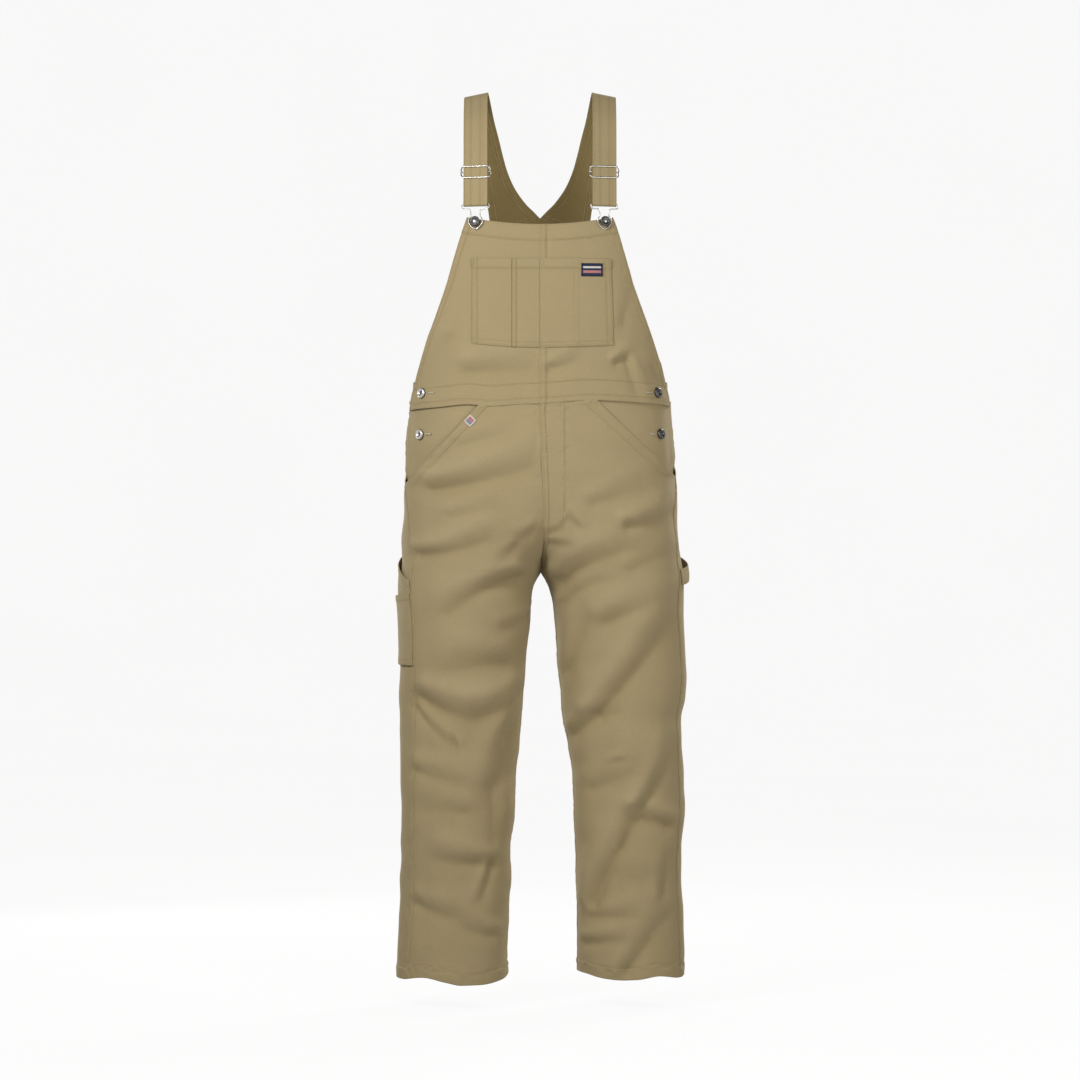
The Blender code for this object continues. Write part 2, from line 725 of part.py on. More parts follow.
def strap_rows():
    rows = []
    for row in STRAP:
        r = dict(zip(STRAP_COLUMNS, row))
        y_in = r["y_in"]
        y_out = r["y_out"]
        if y_in is None:
            y_in = skin(LEFT, r["z_in"], angle_at(LEFT, r["z_in"], r["x_in"], "back")).y - CLOTH / 2
            y_out = skin(LEFT, r["z_out"], angle_at(LEFT, r["z_out"], r["x_out"], "back")).y - CLOTH / 2
        rows.append((Vector((r["x_in"], y_in, r["z_in"])), Vector((r["x_out"], y_out, r["z_out"]))))
    x_in = STRAP_MIDDLE - 19
    x_out = STRAP_MIDDLE + 19
    for z in (-104, -118, -133, -150, -167, -180):
        rows.append((Vector((x_in, strap_front_y(x_in, z), z)), Vector((x_out, strap_front_y(x_out, z), z))))
    for deg in (0, 45, 90, 135, 180):
        dy = -STRAP_LOOP * math.cos(math.radians(deg))
        dz = -STRAP_LOOP * math.sin(math.radians(deg))
        pair = []
        for x in (x_in, x_out):
            pair.append(Vector((x, strap_front_y(x, STRAP_END_Z) + STRAP_LOOP + dy, STRAP_END_Z + dz)))
        rows.append(tuple(pair))
    for z in (-178, -160, -144, -130):
        pair = []
        for x in (x_in, x_out):
            pair.append(Vector((x, strap_front_y(x, z) + 2 * STRAP_LOOP, z)))
        rows.append(tuple(pair))
    return rows


def between(rows, start, stop):
    """Rows with one more row on a smooth curve in each gap from start to stop."""
    out = []
    for i in range(len(rows) - 1):
        out.append(rows[i])
        if start <= i < stop:
            before = rows[max(0, i - 1)]
            after = rows[min(len(rows) - 1, i + 2)]
            pair = []
            for k in (0, 1):
                mid = (rows[i][k] + rows[i + 1][k]) * 0.5625
                pair.append(mid - (before[k] + after[k]) * 0.0625)
            out.append(tuple(pair))
    out.append(rows[-1])
    return out


def strap_grid(side):
    rows = between(strap_rows(), 1, 14)
    points = []
    for a, b in rows:
        line = []
        for w in (0.0, 1 / 3, 2 / 3, 1.0):
            p = a + (b - a) * w
            line.append(Vector((side * p.x, p.y, p.z)))
        points.append(line)
    normals = []
    for r in range(len(points)):
        nrow = []
        for c in range(4):
            along = points[min(r + 1, len(points) - 1)][c] - points[max(r - 1, 0)][c]
            across = points[r][min(c + 1, 3)] - points[r][max(c - 1, 0)]
            n = across.cross(along) * side
            n.normalize()
            nrow.append(n)
        normals.append(nrow)
    return points, normals


for side, label in ((LEFT, "left"), (RIGHT, "right")):
    points, normals = strap_grid(side)
    wall("strap_" + label, points, normals, -STRAP_HALF, STRAP_HALF)

# ---------------------------------------------------------------- wire hardware and buttons


def tube(name, path, radius, closed, look, sides=8):
    n = len(path)
    verts = []
    for i in range(n):
        if closed:
            d = path[(i + 1) % n] - path[i - 1]
        else:
            d = path[min(i + 1, n - 1)] - path[max(i - 1, 0)]
        d.normalize()
        ref = Vector((0, 1, 0))
        a = d.cross(ref)
        a.normalize()
        b = d.cross(a)
        for k in range(sides):
            ang = 2 * math.pi * (k + 0.5) / sides
            verts.append(path[i] + a * radius * math.cos(ang) + b * radius * math.sin(ang))
    faces = []
    last = n if closed else n - 1
    for i in range(last):
        j = (i + 1) % n
        for k in range(sides):
            m = (k + 1) % sides
            faces.append((i * sides + k, i * sides + m, j * sides + m, j * sides + k))
    if not closed:
        faces.append(tuple(reversed(range(sides))))
        faces.append(tuple((n - 1) * sides + k for k in range(sides)))
    return add_object(name, verts, faces, look)


SLIDER_RING = [
    (-17, 9, 0.0), (0, 9, 0.0), (17, 9, 0.0), (20.9, 8, 0.3), (22.8, 5, 2.4), (23.2, 0, 5.2),
    (22.8, -5, 2.4), (20.9, -8, 0.3), (17, -9, 0.0), (0, -9, 0.0), (-17, -9, 0.0), (-20.9, -8, 0.3),
    (-22.8, -5, 2.4), (-23.2, 0, 5.2), (-22.8, 5, 2.4), (-20.9, 8, 0.3),
]
HOOK_HALF = [
    (21.2, -185.0, 0.0), (21.8, -187.6, 0.2), (20.6, -190.6, 0.5), (17.5, -191.4, 0.6), (10.5, -191.8, 0.8),
    (8.0, -194.2, 0.9), (7.2, -199.5, 1.0), (7.8, -203.5, 1.1), (10.3, -207.2, 1.2), (10.9, -211.5, 1.2),
    (9.2, -216.2, 1.0), (4.4, -221.4, 0.7), (0.0, -223.4, 0.6),
]


def slider_point(side, dx, dz, dy):
    x = STRAP_MIDDLE + dx
    z = SLIDER_Z + dz
    return Vector((side * x, strap_front_y(x, z) - 2.6 + dy, z))


def hook_point(side, dx, z, dy):
    x = STRAP_MIDDLE + dx
    return Vector((side * x, strap_plane(x) - 5.3 + dy, z))


for side, label in ((LEFT, "left"), (RIGHT, "right")):
    ring = tube("slider_" + label, [slider_point(side, *p) for p in SLIDER_RING], WIRE, True, NICKEL)
    bar_path = [slider_point(side, dx, 0, 5.2) for dx in (-23.1, -11, 0, 11, 23.1)]
    bar = tube("slider_bar_" + label, bar_path, WIRE * 0.93, False, NICKEL)
    bar.hide_render = True
    join = ring.modifiers.new("join", "BOOLEAN")
    join.operation = "UNION"
    join.solver = "EXACT"
    join.object = bar
    half = [(14.0, -184.0, 0.0), (19.0, -184.0, 0.0)] + HOOK_HALF
    path = [hook_point(side, 0, -184.0, 0.0)]
    for p in half:
        path.append(hook_point(side, *p))
    for p in reversed(half[:-1]):
        path.append(hook_point(side, -p[0], p[1], p[2]))
    tube("hook_" + label, path, WIRE, True, NICKEL, 6)


def lathe(name, centre, axis, outline, look, sides=12):
    axis = axis.normalized()
    a = axis.cross(Vector((0.31, 0.17, 0.94)))
    a.normalize()
    b = axis.cross(a)
    verts = []
    for radius, height in outline:
        for k in range(sides):
            ang = 2 * math.pi * k / sides
            verts.append(centre + axis * height + (a * math.cos(ang) + b * math.sin(ang)) * radius)
    faces = [tuple(reversed(range(sides)))]
    for i in range(len(outline) - 1):
        for k in range(sides):
            m = (k + 1) % sides
            faces.append((i * sides + k, i * sides + m, (i + 1) * sides + m, (i + 1) * sides + k))
    top = (len(outline) - 1) * sides
    faces.append(tuple(top + k for k in range(sides)))
    return add_object(name, verts, faces, look)


def button_on(name, side, face, x, z, lift, outline, look, flip=False):
    t = angle_at(side, z, x, face)
    n = outward(side, z, t)
    centre = skin(side, z, t) + n * lift
    if flip:
        n = -n
    return lathe(name, centre, n, outline, look)


for side, label in ((LEFT, "left"), (RIGHT, "right")):
    button_on("bib_button_" + label, side, "front", STRAP_MIDDLE, BUTTON_Z, 0.0, BIB_BUTTON, GUNMETAL)
    button_on("bib_rivet_" + label, side, "front", STRAP_MIDDLE, BUTTON_Z - 2, -2 * CLOTH - LAYER, RIVET, SILVER, True)
    look = GUNMETAL if side > 0 else SILVER
    button_on("side_button_upper_" + label, side, "front", 188, -484, -0.7, SIDE_BUTTON, look)
    button_on("side_button_lower_" + label, side, "front", 193, -550, -FACING, SIDE_BUTTON, look)
    button_on("side_button_back_" + label, side, "back", 202, -486, 0.0, SIDE_BUTTON, GUNMETAL)

# ---------------------------------------------------------------- pocket tag, a square on its corner
TAG_HALF = 10.0
TAG_X = 111.0
TAG_Z = -530.0
points = []
normals = []
for v in (-1, 0, 1):
    prow = []
    nrow = []
    for u in (-1, 0, 1):
        x = TAG_X + (u - v) * TAG_HALF / 2
        z = TAG_Z + (u + v) * TAG_HALF / 2
        t = angle_at(RIGHT, z, x, "front")
        prow.append(skin(RIGHT, z, t))
        nrow.append(outward(RIGHT, z, t))
    points.append(prow)
    normals.append(nrow)
wall("pocket_tag", points, normals, 0.4, 1.1, ROSE)
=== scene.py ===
# Looks of the bib overalls: cloth shells with folds, seams, stitching and hardware round the solids.
# Sizes are millimetres unless a name says otherwise. +Z up, the front faces -Y, the wearer's left is +X.
import math

import bpy
import numpy as np
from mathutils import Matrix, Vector
from mathutils.kdtree import KDTree


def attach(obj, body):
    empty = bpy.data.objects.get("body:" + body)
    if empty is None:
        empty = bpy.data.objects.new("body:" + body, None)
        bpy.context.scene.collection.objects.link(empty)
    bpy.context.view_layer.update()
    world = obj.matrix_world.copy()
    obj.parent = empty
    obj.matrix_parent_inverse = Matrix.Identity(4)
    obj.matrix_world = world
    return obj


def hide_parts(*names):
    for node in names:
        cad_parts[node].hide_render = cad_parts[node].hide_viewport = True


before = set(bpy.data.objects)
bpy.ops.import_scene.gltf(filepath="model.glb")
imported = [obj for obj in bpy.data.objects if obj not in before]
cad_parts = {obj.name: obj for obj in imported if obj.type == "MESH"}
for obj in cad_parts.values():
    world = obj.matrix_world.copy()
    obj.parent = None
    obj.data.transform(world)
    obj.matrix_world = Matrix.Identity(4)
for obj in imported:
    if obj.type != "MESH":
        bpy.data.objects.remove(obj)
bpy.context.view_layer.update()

MM = 0.001           # metres in a millimetre
CLOTH = 1.2          # thickness of one cloth wall
LEAST_WALL = 0.35    # thinnest that a wall may become in a dent
SEAM = 0.3           # gap between two pieces at a seam
OVER = 1.6           # how far the upper piece of a felled seam reaches over the lower one
FACING = 2.6         # how far the cloth behind the hip pocket opening lies below the panel's face
FAR = 999.0          # a distance that puts a point out of every seam's reach
BIB_TOP = -216.0     # middle of the bib's top edge
BACK_TOP = -257.0    # upper end of the back panels
YOKE_END = -381.0    # lower tip of the yoke
ARM_END = -466.0     # lower end of the armhole
WAIST_Z = -501.0
FORK_Z = -772.0
HEM_Z = -1432.0
HEM = 19.5           # depth of the leg hem
FRONT_WIDE = 262.0   # width in which the front panel's columns are laid out
BACK_WIDE = 330.0    # the same for the back panel
STRAP_HALF = 1.0     # half the strap's thickness
STRAP_WIDE = 38.0
STRAP_MIDDLE = 103.0
STRAP_END_Z = -184.0
STRAP_LOOP = 2.6     # radius of the strap's loop round the hook's bar
SLIDER_Z = -132.0
BUTTON_Z = -211.5
WIRE = 1.2           # radius of the slide adjuster's wire
FOLD_DEPTH = 1.3     # depth of the folds against the table's
TROUGH_BELOW = 0.6   # how far below its line, in widths, a fold's trough runs
FOLD_PAINTED_LIGHT = 0.011    # painted light on folds: how much lighter the cloth is painted for each millimetre that a fold stands out, and darker where it sinks
REVERSE_PAINTED_SHADE = 0.56  # painted shade on the cloth's reverse: its tone against its face
MIDDLE_Z = -0.72     # metres: the height at which lights and camera aim
FLOOR_Z = -1.475     # metres
STAGE_GLOW = 0.99    # strength of the floor's own light
LEFT = 1
RIGHT = -1
SIDES = {LEFT: "left", RIGHT: "right"}

# Trunk sections: half widths at the wearer's left and right, where the centre seam lies (shift, to the
# left), how far the two legs have parted, depth in front of and behind y = 0, and the oval's exponent.
TRUNK_COLUMNS = ("z", "left", "right", "shift", "split", "front", "back", "oval")
TRUNK = [
    (-100, 168, 168, 0, 0.00, 98, 88, 0.74),
    (-150, 173, 173, 0, 0.00, 104, 98, 0.74),
    (-205, 176, 176, 0, 0.00, 109, 104, 0.74),
    (-293, 184, 184, 0, 0.00, 115, 104, 0.75),
    (-353, 192, 192, 0, 0.00, 119, 101, 0.77),
    (-414, 201, 201, 0, 0.00, 121, 100, 0.79),
    (-475, 207.5, 207, 0, 0.00, 123, 104, 0.80),
    (-501, 210.5, 210, 0, 0.00, 124, 108, 0.81),
    (-560, 216, 216, 2, 0.06, 127, 120, 0.84),
    (-600, 220, 219, 4, 0.12, 127, 128, 0.86),
    (-640, 222, 221, 6, 0.22, 126, 132, 0.88),
    (-680, 223, 221, 7, 0.40, 124, 132, 0.90),
    (-711, 225, 223, 7, 0.60, 121, 129, 0.92),
    (-740, 227, 223, 5, 0.82, 118, 124, 0.94),
    (-758, 229, 224, 3, 0.95, 116, 120, 0.95),
    (-772, 231, 226, 2, 1.00, 114, 117, 0.96),
]

# Leg sections below the fork: distance of the inner and outer edge from the middle, for each leg.
LEG_COLUMNS = ("z", "in_left", "out_left", "in_right", "out_right", "front", "back", "oval")
LEG = [
    (-784, 9, 232, 5, 228, 112, 114, 0.96),
    (-800, 16, 233, 11, 229, 110, 110, 0.97),
    (-855, 24, 234, 15, 228, 104, 101, 0.97),
    (-916, 29, 236, 23, 227, 97, 94, 0.97),
    (-977, 36, 235, 27, 228, 91, 88, 0.97),
    (-1007, 40, 229, 29, 227, 88, 86, 0.97),
    (-1045, 46, 231, 32, 227, 85, 84, 0.97),
    (-1100, 52, 234, 37, 227, 81, 82, 0.97),
    (-1160, 54, 234, 42, 227, 77, 80, 0.97),
    (-1220, 57, 231, 47, 227, 74, 79, 0.97),
    (-1300, 60, 231, 50, 228, 71, 78, 0.97),
    (-1370, 61, 233, 52, 231, 69, 77, 0.97),
    (-1432, 62, 236, 54, 233, 68, 77, 0.97),
]

# Side seam, in degrees round the leg from the inside (0) over the front (90) to the outside (180).
SIDE_SEAM_COLUMNS = ("z", "left", "right")
SIDE_SEAM = [
    (-440, 178, 178),
    (-501, 178, 178),
    (-600, 174, 174),
    (-640, 168, 168),
    (-700, 163, 157),
    (-772, 159, 146),
    (-850, 157, 139),
    (-1432, 155, 138),
]

# Edges as (z, x outwards): the bib's outer edge, the back's armhole, and the yoke's seam on the back.
BIB_EDGE = [
    (-200, 110), (-232, 123), (-293, 144), (-353, 165), (-414, 187), (-450, 198), (-468, 203), (-480, 206.3),
    (-490, 208.3), (-505, 209.8),
]
ARM_EDGE = [
    (-250, 80.5), (-290, 81), (-332, 89), (-365, 101), (-388, 112), (-410, 126), (-421, 136), (-435, 155),
    (-444, 171), (-452, 187), (-459, 200), (-466, 207),
]
YOKE_EDGE = [(-256, 80), (-278, 49), (-299, 27), (-321, 13), (-343, 5.5), (-362, 2.2), (-381, 0.15)]

# Slant of the hip pocket opening, from the waist seam to the side seam: x and z at both ends.
SLANT = {LEFT: (90, -501, 217, -616), RIGHT: (96, -501, 219, -631)}
# The stitched curve of the fly, and its width.
FLY = [(39.5, -503), (39.5, -676), (37.5, -689), (31, -699), (22, -706), (13, -711)]
FLY_WIDE = 39.5
# Where the pen pocket begins on the chest pocket.
PEN_X = 44.6

# How far the waist seam wanders from its level, across the front (x counts to the wearer's left).
WAIST_WANDER = [
    (-210, -8), (-160, -5), (-118, -1.5), (-78, -4.5), (-30, -1.5), (0, -0.6), (85, 5), (150, 2.5), (205, -1),
]

# Corners of the seat pockets: top inner, top outer, bottom outer, bottom inner. Then x of the piping's ends.
BACK_POCKET = {
    LEFT: ((64, -541), (205, -557), (201, -727), (52, -717)),
    RIGHT: ((66, -537), (208, -555), (210, -718), (62.5, -704)),
}
PIPING = {LEFT: (62, 150), RIGHT: (70, 157)}
# The tool pocket's lower edge, and x of its back edge by height.
TOOL_BOTTOM = -922
TOOL_BACK = [(-724, 173), (-815, 190), (-922, 208)]

# Folds of each side and face. x counts outwards from the middle. deep is positive for a trough and negative
# for a ridge, and bow is how far the line sags below the straight between its ends. A trough has a crisp
# bottom and a low ridge above it, is deepest at its first end and runs out wide at its second.
# Columns: x1, z1, x2, z2, wide, deep, bow.
FOLDS = {
    (RIGHT, "front"): [
        (178, -632, 8, -588, 20, 7.0, 4), (128, -564, 54, -541, 12, 2.0, 0),
        (146, -677, 80, -662, 13, 2.6, 0), (196, -738, 88, -711, 16, 7.0, 5),
        (0, -690, 30, -712, 9, 4.0, 2), (40, -726, 68, -754, 9, 2.8, 0),
        (34, -772, 150, -826, 17, 7.5, -6), (14, -830, 58, -856, 10, 4.5, 4),
        (60, -908, 165, -918, 26, 4.5, -4), (190, -966, 104, -994, 22, 7.5, 3),
        (30, -958, 104, -994, 22, 8.0, 4), (28, -985, 76, -1104, 20, 7.0, -6),
        (200, -986, 134, -1046, 9, 3.2, 4), (134, -1040, 131, -1072, 7, 2.6, 0),
        (198, -1085, 132, -1100, 17, 3.4, 0), (120, -1150, 190, -1140, 18, 2.4, 0),
        (78, -1234, 162, -1221, 17, 4.6, 3), (80, -1244, 98, -1296, 9, 4.4, 0),
        (66, -1120, 62, -1230, 17, 3.2, 0), (198, -1300, 128, -1316, 16, 3.6, 4),
        (74, -1352, 120, -1334, 14, 3.2, 2), (118, -444, 6, -434, 20, 4.6, 0),
        (150, -392, 186, -424, 15, 2.6, 0),
    ],
    (LEFT, "front"): [
        (84, -656, 156, -632, 16, 3.4, 0), (138, -692, 214, -664, 16, 7.5, 4),
        (28, -778, 158, -722, 20, 7.5, -10), (146, -760, 206, -732, 14, 3.0, 0),
        (10, -720, 50, -725, 7, 3.2, 2), (62, -696, 44, -676, 8, 3.2, 0), (14, -706, 40, -690, 6, 2.2, 2),
        (34, -819, 90, -780, 9, 3.4, -4), (100, -846, 214, -788, 22, 5.0, 0),
        (36, -928, 62, -846, 14, 5.5, 0), (82, -994, 212, -822, 22, 8.5, 6),
        (49, -1028, 114, -990, 13, 6.5, -6), (130, -1070, 112, -1075, 7, 2.2, 0),
        (80, -1112, 152, -1080, 20, 3.6, 0), (158, -1144, 206, -1050, 16, 6.5, 4),
        (77, -1302, 150, -1162, 19, 8.5, -6), (210, -1174, 146, -1160, 16, 6.0, -4),
        (128, -1216, 140, -1180, 9, 3.0, 0), (194, -1290, 197, -1234, 13, 4.0, 0),
        (80, -1322, 150, -1316, 13, 3.2, 0), (72, -1366, 130, -1356, 12, 4.2, 0),
        (134, -1408, 194, -1318, 18, 5.0, 0), (14, -442, 56, -424, 12, 4.0, 3),
        (120, -434, 144, -420, 9, 5.0, 0), (143, -431, 162, -486, 9, 3.6, 0),
        (128, -372, 140, -312, 13, 2.0, 0), (188, -442, 204, -472, 9, 3.0, 0),
    ],
    (LEFT, "back"): [
        (106, -414, 10, -388, 18, 5.5, 4), (26, -748, 8, -716, 11, 6.0, 0),
        (30, -768, 2, -778, 9, 5.0, 3), (52, -742, 104, -804, 18, 3.2, 0),
        (8, -818, 95, -838, 17, 4.0, 0), (26, -902, 196, -858, 22, 7.0, -8),
        (74, -944, 118, -884, 18, 5.0, 0), (186, -959, 112, -948, 16, 6.0, 2),
        (86, -952, 36, -970, 11, 3.4, 0), (198, -984, 168, -1012, 7, 2.6, 0),
        (127, -1010, 88, -1001, 10, 3.6, 0), (34, -1046, 84, -1028, 13, 6.0, 4),
        (30, -1108, 99, -1070, 18, 8.5, -6), (200, -1113, 84, -1104, 16, 5.0, -8),
        (118, -1244, 66, -1122, 21, 8.5, -4), (114, -1250, 78, -1312, 14, 5.5, 0),
        (44, -1157, 58, -1182, 7, -2.6, 0), (186, -1200, 126, -1195, 17, 3.2, 0),
        (200, -1244, 182, -1273, 7, 2.4, 0), (150, -1360, 50, -1328, 19, 4.4, 2),
        (117, -1404, 70, -1384, 13, 3.6, 0),
    ],
    (RIGHT, "back"): [
        (10, -378, 88, -374, 15, 3.5, 2), (10, -444, 70, -424, 15, 4.5, 3),
        (40, -486, 80, -486, 16, 3.0, 0), (20, -742, 64, -744, 11, 5.5, 8),
        (22, -692, 38, -680, 10, 4.5, 0), (22, -768, 144, -778, 16, 4.4, -6),
        (22, -826, 66, -784, 13, 5.5, 0), (88, -812, 166, -790, 15, 3.0, 0),
        (36, -904, 32, -832, 14, 5.5, 0), (60, -1030, 168, -964, 17, 7.0, -14),
        (56, -1012, 43, -998, 7, 2.8, 0), (46, -1057, 90, -1046, 12, 4.2, 2),
        (172, -1096, 232, -972, 19, 6.5, 4), (67, -1134, 112, -1118, 12, 4.0, 2),
        (78, -1220, 93, -1196, 9, 4.0, 0), (216, -1240, 232, -1166, 8, 2.8, 0),
        (172, -1300, 190, -1190, 20, 3.2, 0), (158, -1424, 188, -1330, 17, 4.6, 0),
        (92, -1380, 118, -1360, 11, 3.2, 0),
    ],
}

# How far the hem wanders from its level, by degrees round the leg from the inside over the front.
HEM_COLUMNS = ("deg", "left", "right")
HEM_LINE = [
    (0, 13, 9), (28, 12, 1), (60, 6, -4), (80, 4, -4), (95, 5, 1), (118, 10, 8), (150, 5, 3), (180, 7, 3),
    (215, 4, 3), (250, -1, 0), (270, -2, -1), (300, 1, 5), (332, 7, 10), (360, 13, 9),
]

# Strap, wearer's left, from the seam on the yoke over the shoulder to the front: inner and outer edge.
# Rows without y lie on the back's own surface. Columns: x_in, y_in, z_in, x_out, y_out, z_out.
STRAP = [
    (0.8, None, -187.6, 81.5, None, -220.7),
    (10, None, -178, 82.5, None, -201),
    (25, None, -163, 85, None, -180),
    (42, 95.5, -139, 89, 91.5, -153),
    (54, 89, -112, 93.5, 85.5, -123),
    (61.5, 79, -86, 99.5, 76.5, -95),
    (68, 67, -60, 106, 64.5, -69),
    (74.5, 52, -36, 112.5, 49.5, -45),
    (79.5, 33, -13, 117.5, 31, -22),
    (82.5, 13, 1, 120.5, 11, -7),
    (84.0, -8, 5, 122, -9, -3),
    (84.6, -28, -1, 122.6, -28, -9),
    (84.6, -48, -17, 122.6, -47, -25),
    (84.5, -70, -42, 122.5, -67, -48),
    (84.3, -87, -72, 122.3, -82, -76),
]

# Hammer loop: degrees round the leg and height of its upper and lower edge, and its distance from the leg.
LOOP_COLUMNS = ("at", "deg_a", "z_a", "deg_b", "z_b", "off")
LOOP = [
    (0.0, 213, -728.6, 221, -729.6, 1.8),
    (0.3, 204, -744, 214, -760, 8.5),
    (0.6, 190, -757, 196, -781, 11.0),
    (0.8, 176, -764, 179, -788, 8.0),
    (1.0, 160.5, -768, 160.5, -793, 1.8),
]

# Slide adjuster, round its ring: x and z from its middle, and how far behind its front it lies.
SLIDER_RING = [
    (-17, 9, 0.0), (0, 9, 0.0), (17, 9, 0.0), (20.9, 8, 0.3), (22.8, 5, 2.4), (23.2, 0, 5.2),
    (22.8, -5, 2.4), (20.9, -8, 0.3), (17, -9, 0.0), (0, -9, 0.0), (-17, -9, 0.0), (-20.9, -8, 0.3),
    (-22.8, -5, 2.4), (-23.2, 0, 5.2), (-22.8, 5, 2.4), (-20.9, 8, 0.3),
]
# Hook, one half: x from its middle, z, and how far behind its front it lies.
HOOK_HALF = [
    (14.0, -184.0, 0.0), (19.0, -184.0, 0.0),
    (21.2, -185.0, 0.0), (21.8, -187.6, 0.2), (20.6, -190.6, 0.5), (17.5, -191.4, 0.6), (10.5, -191.8, 0.8),
    (8.0, -194.2, 0.9), (7.2, -199.5, 1.0), (7.8, -203.5, 1.1), (10.3, -207.2, 1.2), (10.9, -211.5, 1.2),
    (9.2, -216.2, 1.0), (4.4, -221.4, 0.7), (0.0, -223.4, 0.6),
]
# Bib button and side button outlines: radius and height above the cloth.
BIB_BUTTON = [
    (0.0, 0.3), (3.3, 0.3), (3.3, 4.5), (7.2, 4.6), (8.1, 5.1), (8.3, 5.6), (8.0, 6.6), (7.2, 7.5),
    (6.2, 7.8), (5.4, 7.6), (5.0, 7.0), (4.6, 6.8), (0.0, 6.8),
]
BIB_CAP = [(0.0, 6.7), (2.5, 6.7), (2.3, 7.2), (1.6, 7.6), (0.8, 7.7), (0.0, 7.75)]
SIDE_BUTTON = [
    (0.0, 0.3), (3.0, 0.3), (3.0, 1.8), (7.6, 1.9), (8.5, 2.4), (8.6, 3.0), (8.1, 4.2), (7.0, 5.1),
    (5.8, 5.3), (4.7, 5.0), (3.8, 4.2), (3.2, 3.2), (0.0, 3.1),
]
SIDE_CORE = [(0.0, 3.0), (2.6, 3.0), (2.4, 3.8), (1.2, 4.3), (0.0, 4.4)]
RIVET = [(0.0, 0.3), (5.2, 0.3), (5.3, 0.8), (4.8, 1.3), (3.4, 1.9), (1.8, 2.3), (0.0, 2.4)]


# ---------------- curves and small helpers
class Track:
    """A smooth curve through given points that never overshoots them."""

    def __init__(self, xs, ys):
        order = np.argsort(xs)
        self.x = np.array(xs, float)[order]
        self.y = np.array(ys, float)[order]
        h = np.diff(self.x)
        d = np.diff(self.y) / h
        self.m = np.zeros(len(self.x))
        self.m[0] = d[0]
        self.m[-1] = d[-1]
        for i in range(1, len(self.x) - 1):
            if d[i - 1] * d[i] > 0:
                w1 = 2 * h[i] + h[i - 1]
                w2 = h[i] + 2 * h[i - 1]
                self.m[i] = (w1 + w2) / (w1 / d[i - 1] + w2 / d[i])

    def __call__(self, x):
        x = np.clip(x, self.x[0], self.x[-1])
        i = np.clip(np.searchsorted(self.x, x, side="right") - 1, 0, len(self.x) - 2)
        h = self.x[i + 1] - self.x[i]
        t = (x - self.x[i]) / h
        a = (1 + 2 * t) * (1 - t) ** 2 * self.y[i]
        b = t * (1 - t) ** 2 * h * self.m[i]
        c = t * t * (3 - 2 * t) * self.y[i + 1]
        e = t * t * (t - 1) * h * self.m[i + 1]
        return a + b + c + e


def table_tracks(rows, columns):
    """A curve for each column of a table but the first, along which they run."""
    first, *others = zip(*rows)
    return {name: Track(first, values) for name, values in zip(columns[1:], others)}


def smooth(x):
    """0 below 0, 1 above 1, and a soft step between."""
    x = np.clip(x, 0.0, 1.0)
    return x * x * (3 - 2 * x)


def hill(x):
    return np.exp(-x ** 2)


def ladder(length, pitch, close=()):
    """Distances from 0 to length, pitch apart, and closer round each (place, reach, pitch)."""
    s = np.linspace(0, length, int(length * 10) + 1)
    density = np.full(len(s), 1.0 / pitch)
    for place, reach, fine in close:
        soft = smooth((np.abs(s - place) - reach) / 5.0)
        density = np.maximum(density, (1 - soft) / fine)
    total = np.concatenate([[0.0], np.cumsum((density[1:] + density[:-1]) / 2 * np.diff(s))])
    count = max(2, int(round(total[-1])) + 1)
    return np.interp(np.linspace(0, total[-1], count), total, s)


def unit(v):
    return v / np.maximum(np.linalg.norm(v, axis=-1, keepdims=True), 1e-9)


def lengths(points):
    """Distance of each point of a line from its first, measured along it."""
    step = np.linalg.norm(np.diff(points, axis=0), axis=-1)
    return np.concatenate([np.zeros((1,) + step.shape[1:]), np.cumsum(step, axis=0)])


def along_line(s, values, where):
    return np.stack([np.interp(where, s, values[:, k]) for k in range(values.shape[1])], axis=-1)


class Waves:
    """Soft seeded undulation in space: random values on a lattice, smoothly joined."""

    LOW = np.array([-420.0, -300.0, -1600.0])
    HIGH = np.array([420.0, 300.0, 150.0])

    def __init__(self, pitch, seed):
        self.pitch = np.array(pitch, float)
        size = ((self.HIGH - self.LOW) / self.pitch).astype(int) + 3
        self.values = np.random.default_rng(seed).uniform(-1, 1, size)

    def __call__(self, p):
        q = (p - self.LOW) / self.pitch
        i = np.floor(q).astype(int)
        f = smooth(q - i)
        total = 0.0
        for corner in np.ndindex(2, 2, 2):
            weight = np.abs(1 - np.array(corner) - f).prod(axis=-1)
            total = total + weight * self.values[tuple(np.moveaxis(i + corner, -1, 0))]
        return total


WAVES = [(Waves((75, 75, 55), 3), 2.4), (Waves((38, 38, 30), 5), 1.0), (Waves((17, 17, 15), 8), 0.25)]
PUCKER = Waves((7, 7, 6), 11)


# ---------------- the garment's surface
def leg_tracks(label, side):
    """Curves down one side: the section's middle, half width, centre seam, depths and side seam by height."""
    rows = []
    for row in TRUNK:
        r = dict(zip(TRUNK_COLUMNS, row))
        shift = side * r["shift"]
        half = (r[label] - shift) / (1 + r["split"])
        rows.append((r["z"], r["split"] * half + shift, half, shift, r["front"], r["back"], r["oval"]))
    for row in LEG:
        r = dict(zip(LEG_COLUMNS, row))
        inner = r["in_" + label]
        outer = r["out_" + label]
        middle = (outer + inner) / 2
        rows.append((r["z"], middle, (outer - inner) / 2, shift, r["front"], r["back"], r["oval"]))
    tracks = table_tracks(rows, ("z", "middle", "half", "centre", "front", "back", "oval"))
    tracks["seam"] = table_tracks(SIDE_SEAM, SIDE_SEAM_COLUMNS)[label]
    return tracks


